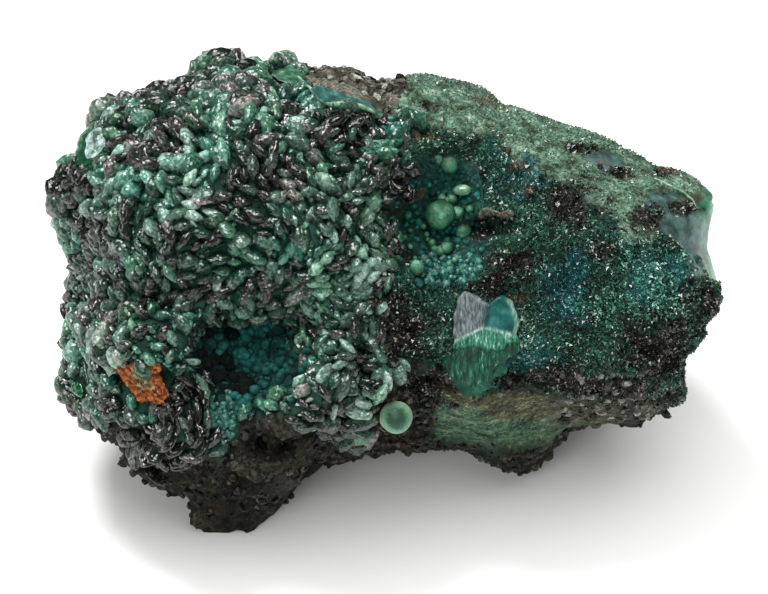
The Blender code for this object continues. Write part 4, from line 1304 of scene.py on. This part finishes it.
def druse_finish():
    """Drusy quartz over chrysocolla: glassy points a few tenths of a millimetre across.

    Most are bottle green to teal, some yellow-green or nearly black, and a few of them
    flash white, so that the crust reads as a fine mosaic.
    """
    made, where = new_finish("drusy_chrysocolla")
    mid = noisy(made, where, 6.0, 6.0, 0.75, 0.6)
    wide = noisy(made, where, 13.0, 3.0, 0.6)
    tone = value_of(made, "tone")
    points = colour_ramp(made, tone, [
        (0.0, "#010202"), (0.3, "#071c15"), (0.5, "#153f30"), (0.66, "#285f4a"), (0.74, "#4a5c2a"),
        (0.8, "#2f7f6a"), (0.9, "#5f9e84"), (0.96, "#a6c4a5"), (1.0, "#e2efe4")])
    patch = colour_ramp(made, mid, [
        (0.36, "#020302"), (0.45, "#0b150f"), (0.52, "#183628"), (0.6, "#275646"), (0.7, "#437f6a")])
    tint = mixed(made, 0.45, points, patch)
    bluer = mapped(made, wide, 0.48, 0.62, 0.6)
    blue = colour_ramp(made, tone, [(0.0, "#010f12"), (0.5, "#06333a"), (0.85, "#12535a"), (1.0, "#5aa3a2")])
    tint = mixed(made, bluer, tint, blue)
    layers = [
        ("slope", mid, [
            (0.34, "#1a2416"), (0.43, "#3a4c33"), (0.5, "#4a6c57"), (0.58, "#5d8672"), (0.66, "#77825a"),
            (0.78, "#a3ad8f")], 0.75),
        ("teal", tone, [(0.0, "#011314"), (0.5, "#06383b"), (0.85, "#125558"), (1.0, "#6db3ac")], 0.7),
        ("pale", tone, [(0.0, "#143f33"), (0.4, "#3a7b67"), (0.9, "#70ab94"), (1.0, "#b9d8ca")], 0.85),
        ("crest", tone, [(0.0, "#3d5a48"), (0.5, "#6c8f7b"), (0.9, "#9fbda9"), (1.0, "#d3e2d6")], 0.8),
        ("black", tone, [(0.3, "#030202"), (0.7, "#120e0c"), (0.9, "#3b322b"), (1.0, "#a1958a")], 0.95),
        ("rust", tone, [(0.1, "#170e07"), (0.5, "#452e15"), (0.9, "#6f532a"), (1.0, "#b39a6c")], 0.7),
    ]
    for layer in layers:
        tint = coated(made, tint, *layer)
    return surfaced(made, {
        "Base Color": tint, "Roughness": 0.28, "Coat Weight": 0.25, "Coat Roughness": 0.08,
    })


def crumb_finish():
    """Limonite and manganese oxide crumbs: earthy, near black to brown, a few glittering."""
    made, where = new_finish("limonitic_matrix")
    fine = noisy(made, where, 0.6, 4.0, 0.75)
    tone, grey = value_of(made, "tone"), value_of(made, "grey")
    half = maths(made, "MULTIPLY", tone, 0.5)
    share = maths(made, "MULTIPLY_ADD", fine, 0.6, half)
    tint = colour_ramp(made, share, [
        (0.25, "#030302"), (0.5, "#0c0d0a"), (0.62, "#1a1a14"), (0.74, "#322f26"), (0.88, "#625e50")])
    wide = noisy(made, where, 9.0, 5.0, 0.6)
    limonite = mapped(made, wide, 0.5, 0.62, 0.5)
    tint = mixed(made, limonite, tint, colour("#30271a"))
    light = colour_ramp(made, share, [
        (0.3, "#0c0b08"), (0.48, "#292620"), (0.6, "#4f4b40"), (0.75, "#85877c"), (0.88, "#c6c8be")])
    tint = mixed(made, grey, tint, light)
    rise = tiny_faces(made, where, 0.4, 1.0)
    return surfaced(made, {"Base Color": tint, "Roughness": 0.42, "Normal": rise, "Specular IOR Level": 0.3})


def malachite_finish():
    """Botryoidal malachite: silky pale green in fine rings, darker towards the foot."""
    made, where = new_finish("botryoidal_malachite")
    fine = noisy(made, where, 0.5, 3.0, 0.6)
    pole, chance = value_of(made, "pole"), value_of(made, "chance")
    turns = maths(made, "MULTIPLY", pole, 34.0)
    rings = maths(made, "SINE", turns)
    share = maths(made, "MULTIPLY_ADD", pole, 0.5, 0.18)
    share = maths(made, "MULTIPLY_ADD", rings, 0.04, share)
    share = maths(made, "MULTIPLY_ADD", chance, 0.2, share)
    tint = colour_ramp(made, share, [
        (0.0, "#03120c"), (0.25, "#0f3527"), (0.5, "#225841"), (0.75, "#417b60"), (0.95, "#74ab8e")])
    veins = mapped(made, fine, 0.45, 0.65, 0.7)
    tint = mixed(made, veins, tint, colour("#2b4a2c"))
    rise = bumped(made, fine, 0.8, 0.2)
    return surfaced(made, {"Base Color": tint, "Roughness": 0.55, "Normal": rise, "Specular IOR Level": 0.3})


def velvet_finish():
    """Velvety chrysocolla: hair-fine needles that soak up light, a deep dull teal."""
    made, where = new_finish("velvety_chrysocolla")
    fine = noisy(made, where, 0.4, 4.0, 0.7)
    pole, chance = value_of(made, "pole"), value_of(made, "chance")
    share = mapped(made, pole, -0.2, 1.0, 0.45)
    share = maths(made, "MULTIPLY_ADD", fine, 0.5, share)
    tint = colour_ramp(made, share, [
        (0.25, "#010808"), (0.42, "#072f2b"), (0.58, "#13524b"), (0.74, "#2a786d"), (0.92, "#5aa898")])
    wide = noisy(made, where, 4.0, 3.0, 0.6)
    wide = maths(made, "MULTIPLY_ADD", chance, 0.1, wide)
    darker = mapped(made, wide, 0.46, 0.66, 0.85)
    tint = mixed(made, darker, tint, colour("#061a18"))
    rise = bumped(made, fine, 0.9, 0.25)
    return surfaced(made, {
        "Base Color": tint, "Roughness": 0.8, "Normal": rise,
        "Sheen Weight": 0.03, "Specular IOR Level": 0.1,
    })


def round_ball_finish():
    """One malachite ball: pale fibres that run in to a dark speckled middle."""
    made, where = new_finish("fibrous_malachite")
    fine = noisy(made, where, 0.35, 3.0, 0.7)
    pole = value_of(made, "pole")
    share = maths(made, "MULTIPLY_ADD", fine, 0.5, pole)
    share = maths(made, "MULTIPLY", share, 0.9)
    tint = colour_ramp(made, share, [
        (0.3, "#a3ad8d"), (0.55, "#7c9d84"), (0.8, "#5d8b72"), (0.92, "#3c684f"), (1.0, "#1d4430")])
    return surfaced(made, {"Base Color": tint, "Roughness": 0.5, "Specular IOR Level": 0.35})


def rust_finish():
    """Iron oxide scab: earthy orange crumbs over a paler green speckled heart."""
    made, where = new_finish("iron_oxide_scab")
    fine = noisy(made, where, 0.5, 5.0, 0.8)
    grain = grains(made, where, 0.4)
    half = maths(made, "MULTIPLY", grain, 0.4)
    share = maths(made, "MULTIPLY_ADD", fine, 0.6, half)
    tint = colour_ramp(made, share, [
        (0.3, "#251006"), (0.42, "#6f3110"), (0.53, "#9f521d"), (0.63, "#bd7432"), (0.76, "#dfb878")])
    heart = colour_ramp(made, share, [
        (0.3, "#161a0f"), (0.45, "#424a2a"), (0.58, "#70805a"), (0.75, "#bcc6a0")])
    middle = value_of(made, "middle")
    ragged = maths(made, "MULTIPLY_ADD", fine, 0.5, middle)
    inner = mapped(made, ragged, 0.85, 0.62, 0.85)
    tint = mixed(made, inner, tint, heart)
    rise = bumped(made, fine, 1.0, 0.6)
    return surfaced(made, {"Base Color": tint, "Roughness": 0.65, "Normal": rise, "Specular IOR Level": 0.2})


def glassy_finish(name, stops, roughness, stretch, coat=0.4):
    """Cleaved glassy chrysocolla: clear colour with faint streaks along one way."""
    made, where = new_finish(name)
    turned = add(made, "Mapping", {"Vector": where, "Scale": stretch})
    streaks = noisy(made, turned, 1.0, 6.0, 0.68)
    tint = colour_ramp(made, streaks, stops)
    rise = bumped(made, streaks, 0.35, 0.25)
    return surfaced(made, {
        "Base Color": tint, "Roughness": roughness, "Normal": rise,
        "Coat Weight": coat, "Coat Roughness": 0.06,
    })


def window_finish():
    """Cleaved chrysocolla: a scratched grey face, a clear teal one and a streaked green one.

    Where two faces meet below the apex the edge is bruised white, and above it a painted
    shade runs dark along the crease; the clear face's right rim has a painted highlight.
    The foot is a deep emerald green.
    """
    made, where = new_finish("cleaved_chrysocolla_window")
    across = add(made, "Mapping", {"Vector": where, "Rotation": (0.0, -0.9, 0.0), "Scale": (2.2, 0.6, 0.6)})
    scratches = noisy(made, across, 0.7, 6.0, 0.7)
    soft = noisy(made, where, 3.0, 3.0, 0.5)
    turned = add(made, "Mapping", {"Vector": where, "Rotation": (0.0, 0.5, 0.0), "Scale": (2.6, 0.5, 0.5)})
    streaks = noisy(made, turned, 1.0, 7.0, 0.75)
    layers = [
        ("scratched", scratches, [
            (0.32, "#1c2a29"), (0.42, "#3c4a4b"), (0.52, "#5c6668"), (0.62, "#7b8385"), (0.76, "#a9afae")]),
        ("clear", soft, [(0.34, "#072c28"), (0.46, "#0f433e"), (0.56, "#1b5753"), (0.7, "#3c7975")]),
        ("wedge", streaks, [(0.34, "#072a20"), (0.46, "#1b5845"), (0.56, "#3f8a6f"), (0.66, "#c2e2d6")]),
        # This layer is painted shade along the crease between the faces.
        ("painted_crease_shade", soft, [(0.3, "#020b0a"), (0.7, "#0d3a35")], 0.8),
        # The edge layer is the bruised white edge and, on the clear face's right rim, a painted highlight.
        ("edge", scratches, [(0.4, "#3f7f6a"), (0.6, "#b9d9cf")], 0.6),
    ]
    tint = colour_ramp(made, streaks, [
        (0.36, "#02140e"), (0.5, "#0b3d2c"), (0.6, "#1c664e"), (0.72, "#9ccab6")])
    for layer in layers:
        tint = coated(made, tint, *layer)
    dull = mapped(made, value_of(made, "clear"), 0.0, 1.0, 0.22, 0.6)
    rise = bumped(made, streaks, 0.4, 0.3)
    return surfaced(made, {
        "Base Color": tint, "Roughness": dull, "Normal": rise, "Specular IOR Level": 0.25,
    })


def clear_finish():
    """See-through chrysocolla: glass of IOR 1.57 that lets through only bright green."""
    made, where = new_finish("clear_green_chrysocolla")
    fine = noisy(made, where, 1.0, 3.0, 0.6)
    tint = colour_ramp(made, fine, [(0.3, "#052f1b"), (0.5, "#0c5030"), (0.8, "#5c9f7e")])
    rise = bumped(made, fine, 0.4, 0.2)
    return surfaced(made, {
        "Base Color": tint, "Roughness": 0.12, "Normal": rise,
        "IOR": 1.57, "Transmission Weight": 0.35,
    })


def card_finish():
    """Matt white card under the stone."""
    made, _ = new_finish("white_card")
    return surfaced(made, {"Base Color": colour("#f4f4f2"), "Roughness": 0.8})


# --- setting ----------------------------------------------------------------------


def place_of(point):
    return Vector(to_standing(point)[0]) * MM


def set_stage():
    """A plain white sweep of floor, wide enough to fill the view from any side."""
    mesh = bpy.data.meshes.new("floor")
    half = 3.0
    corners = [(-half, -half, 0), (half, -half, 0), (half, half, 0), (-half, half, 0)]
    mesh.from_pydata(corners, [], [(0, 1, 2, 3)])
    mesh.materials.append(card_finish())
    floor = bpy.data.objects.new("floor", mesh)
    bpy.context.scene.collection.objects.link(floor)


def set_light(name, at, size, power, glint=False, fill=True):
    """A round soft light: one that glints is seen in glaze, and one that fills lights the rest."""
    data = bpy.data.lights.new(name, "AREA")
    data.shape = "DISK"
    data.size = size
    data.energy = power
    light = bpy.data.objects.new(name, data)
    light.location = at
    light.rotation_euler = (Vector((0, 0, 0.03)) - Vector(at)).to_track_quat("-Z", "Y").to_euler()
    light.visible_glossy = glint
    light.visible_diffuse = fill
    bpy.context.scene.collection.objects.link(light)


def set_world():
    """A white room whose reflections are dim, so that dark glaze stays dark."""
    world = bpy.data.worlds.new("studio")
    world.use_nodes = True
    world.node_tree.nodes.clear()
    ray = add(world, "LightPath")
    dim = mapped(world, ray.outputs["Is Glossy Ray"], 0.0, 1.0, 0.15, 0.5)
    strength = maths(world, "MAXIMUM", ray.outputs["Is Camera Ray"], dim)
    room = add(world, "Background", {"Color": colour("#ffffff"), "Strength": strength})
    add(world, "OutputWorld", {"Surface": room})
    bpy.context.scene.world = world


def set_camera():
    """A long lens that looks straight at the crystal face."""
    distance = 0.70
    seen = 107.52 * MM              # width of the view where the specimen stands
    target = place_of((-0.56, -2.38, 8.0))
    outward = place_of((0, 0, 1)) - place_of((0, 0, 0))
    data = bpy.data.cameras.new("camera")
    data.sensor_width = 36.0
    data.lens = data.sensor_width * distance / seen
    data.clip_start = 0.01
    camera = bpy.data.objects.new("camera", data)
    camera.location = target + outward.normalized() * distance
    camera.rotation_euler = outward.to_track_quat("Z", "Y").to_euler()
    bpy.context.scene.collection.objects.link(camera)
    bpy.context.scene.camera = camera


CORRECTION = rim_correction()

set_camera()
set_stage()
set_light("key", (-0.25, 0.28, 0.75), 0.28, 5.5, glint=True)
set_light("overhead", (0.1, 0.0, 0.9), 1.2, 7.5)
set_light("front", (-0.4, -0.8, 0.5), 0.6, 3.5)
set_light("sparkle", (-0.2, -0.14, 0.85), 0.5, 9, glint=True, fill=False)
set_world()
bpy.context.scene.view_settings.view_transform = "Standard"

blades = blade_finish()
druse = druse_finish()
malachite = malachite_finish()
velvet = velvet_finish()
deep_teal = glassy_finish(
    "glassy_teal_chrysocolla",
    [(0.32, "#0e2f2a"), (0.46, "#1c4740"), (0.58, "#31645a"), (0.72, "#7fa595")], 0.3, (1.0, 0.6, 0.6), 0.1)
green_glass = glassy_finish(
    "streaked_green_chrysocolla",
    [(0.32, "#0c2a1e"), (0.44, "#1d4935"), (0.56, "#356a50"), (0.72, "#88b090")], 0.4, (0.9, 1.2, 1.2), 0.05)
pale_edge = glassy_finish(
    "pale_green_rib",
    [(0.3, "#2c4f3d"), (0.46, "#5f8a70"), (0.6, "#93b596"), (0.76, "#c6d6bb")], 0.3, (1.0, 1.0, 1.0))
glaze = glassy_finish(
    "glazed_teal_botryoids",
    [(0.32, "#062823"), (0.44, "#144c43"), (0.56, "#2c6f60"), (0.72, "#7db3a3")], 0.5, (2.0, 2.0, 2.0), 0.05)
worn_rock = glassy_finish(
    "worn_brown_rock",
    [(0.32, "#17170f"), (0.44, "#37392d"), (0.54, "#585a4a"), (0.7, "#94957f")], 0.6, (2.0, 3.0, 3.0), 0.0)
frost = glassy_finish(
    "frosted_quartz_face",
    [(0.3, "#29403c"), (0.46, "#6b827d"), (0.58, "#a3b3b0"), (0.74, "#e2e8e8")], 0.25, (1.5, 1.0, 1.0))
clear_green = clear_finish()
crumbs = crumb_finish()

rock = rock_body(rock_finish())
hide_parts("rock")
pieces = [
    rock, *blade_crust(blades), plate_rows(blades),
    druse_crust("druse_crystals_1", druse, 71.0), druse_crust("druse_crystals_2", druse, 171.5),
    grit_crust(crumbs),
    window_block(window_finish()),
    slab("top_glassy_slab", deep_teal, *TOP_SLAB),
    rib("top_brown_band", worn_rock, TOP_BAND, 1.3, 0.7, 0.7),
    slab("top_green_wing", green_glass, *TOP_WING),
    rib("top_slab_edge", pale_edge, TOP_RIDGE, 0.2, 0.4, 3.5),
    rib("pocket_flake", worn_rock, POCKET_FLAKE, 0.75, 0.25, 0.7),
    rib("lip_edge", pale_edge, LIP_RIM, 0.16, 0.16, 0.3),
    rib("end_rim", pale_edge, END_RIM, 0.2, 0.2, 0.1),
    outlined("clear_blade_1", clear_green, CLEAR_BLADE, 1.4, 2.6, 0.12),
    outlined("clear_blade_face", frost, CLEAR_FACE, 2.9, 0.9, 0.16),
    outlined("clear_blade_2", clear_green, CLEAR_TIP, 1.2, 2.0, 0.12),
    outlined("rust_scab", rust_finish(), SCAB, 1.2, 1.6, 0.7),
    knob("foot_knob", crumbs, (-15.8, -29.4), 20, (2.8, 2.4, 2.0), 0.2, 0.4),
]
for piece in pieces:
    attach(piece, "root")

listed = np.array([(a, b, radius) for (a, b), radius in POCKET_BALLS])
big = ball_cluster("malachite_balls", malachite, *listed.T, 14, 24, 0.55)
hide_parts("pocket_crust")
# Small balls, of five rings of nine points: most stay near the least radius.
a, b = spots(320, (7.0, 8.0), (6.8, 9.4), 91)
radius = 0.18 + 0.5 * scatter(np.arange(len(a)), 92) ** 2
lining = ball_cluster("pocket_lining", velvet, a, b, radius, 5, 9, -0.2)
a, b = spots(380, HOLLOW[0], (8.4, 7.0), 93)
radius = 0.35 + 0.75 * scatter(np.arange(len(a)), 94) ** 2.5
hollow = ball_cluster("velvet_balls", velvet, a, b, radius, 5, 9, 0.0)
a, b = np.hstack([
    spots(120, (-23.3, -18.6), (2.1, 5.2), 95), spots(60, (-7.4, -4.6), (1.7, 2.2), 96),
    spots(100, (8.0, 1.6), (5.0, 2.4), 97),
])
radius = 0.25 + 0.55 * scatter(np.arange(len(a)), 98) ** 2
botryoids = ball_cluster("glazed_botryoids", glaze, a, b, radius, 5, 9, 0.0)
cap = knob("flat_topped_knob", pale_edge, CAP[0], 0, CAP[1], -1.2, 0.05)
sphere = ball_cluster(
    "round_malachite_ball", round_ball_finish(), 1.0, -18.8, 2.3, 30, 44, 1.0, (0.05, -0.1, 1.0), 0.2)
for piece in (big, lining, hollow, botryoids, cap, sphere):
    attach(piece, "root")
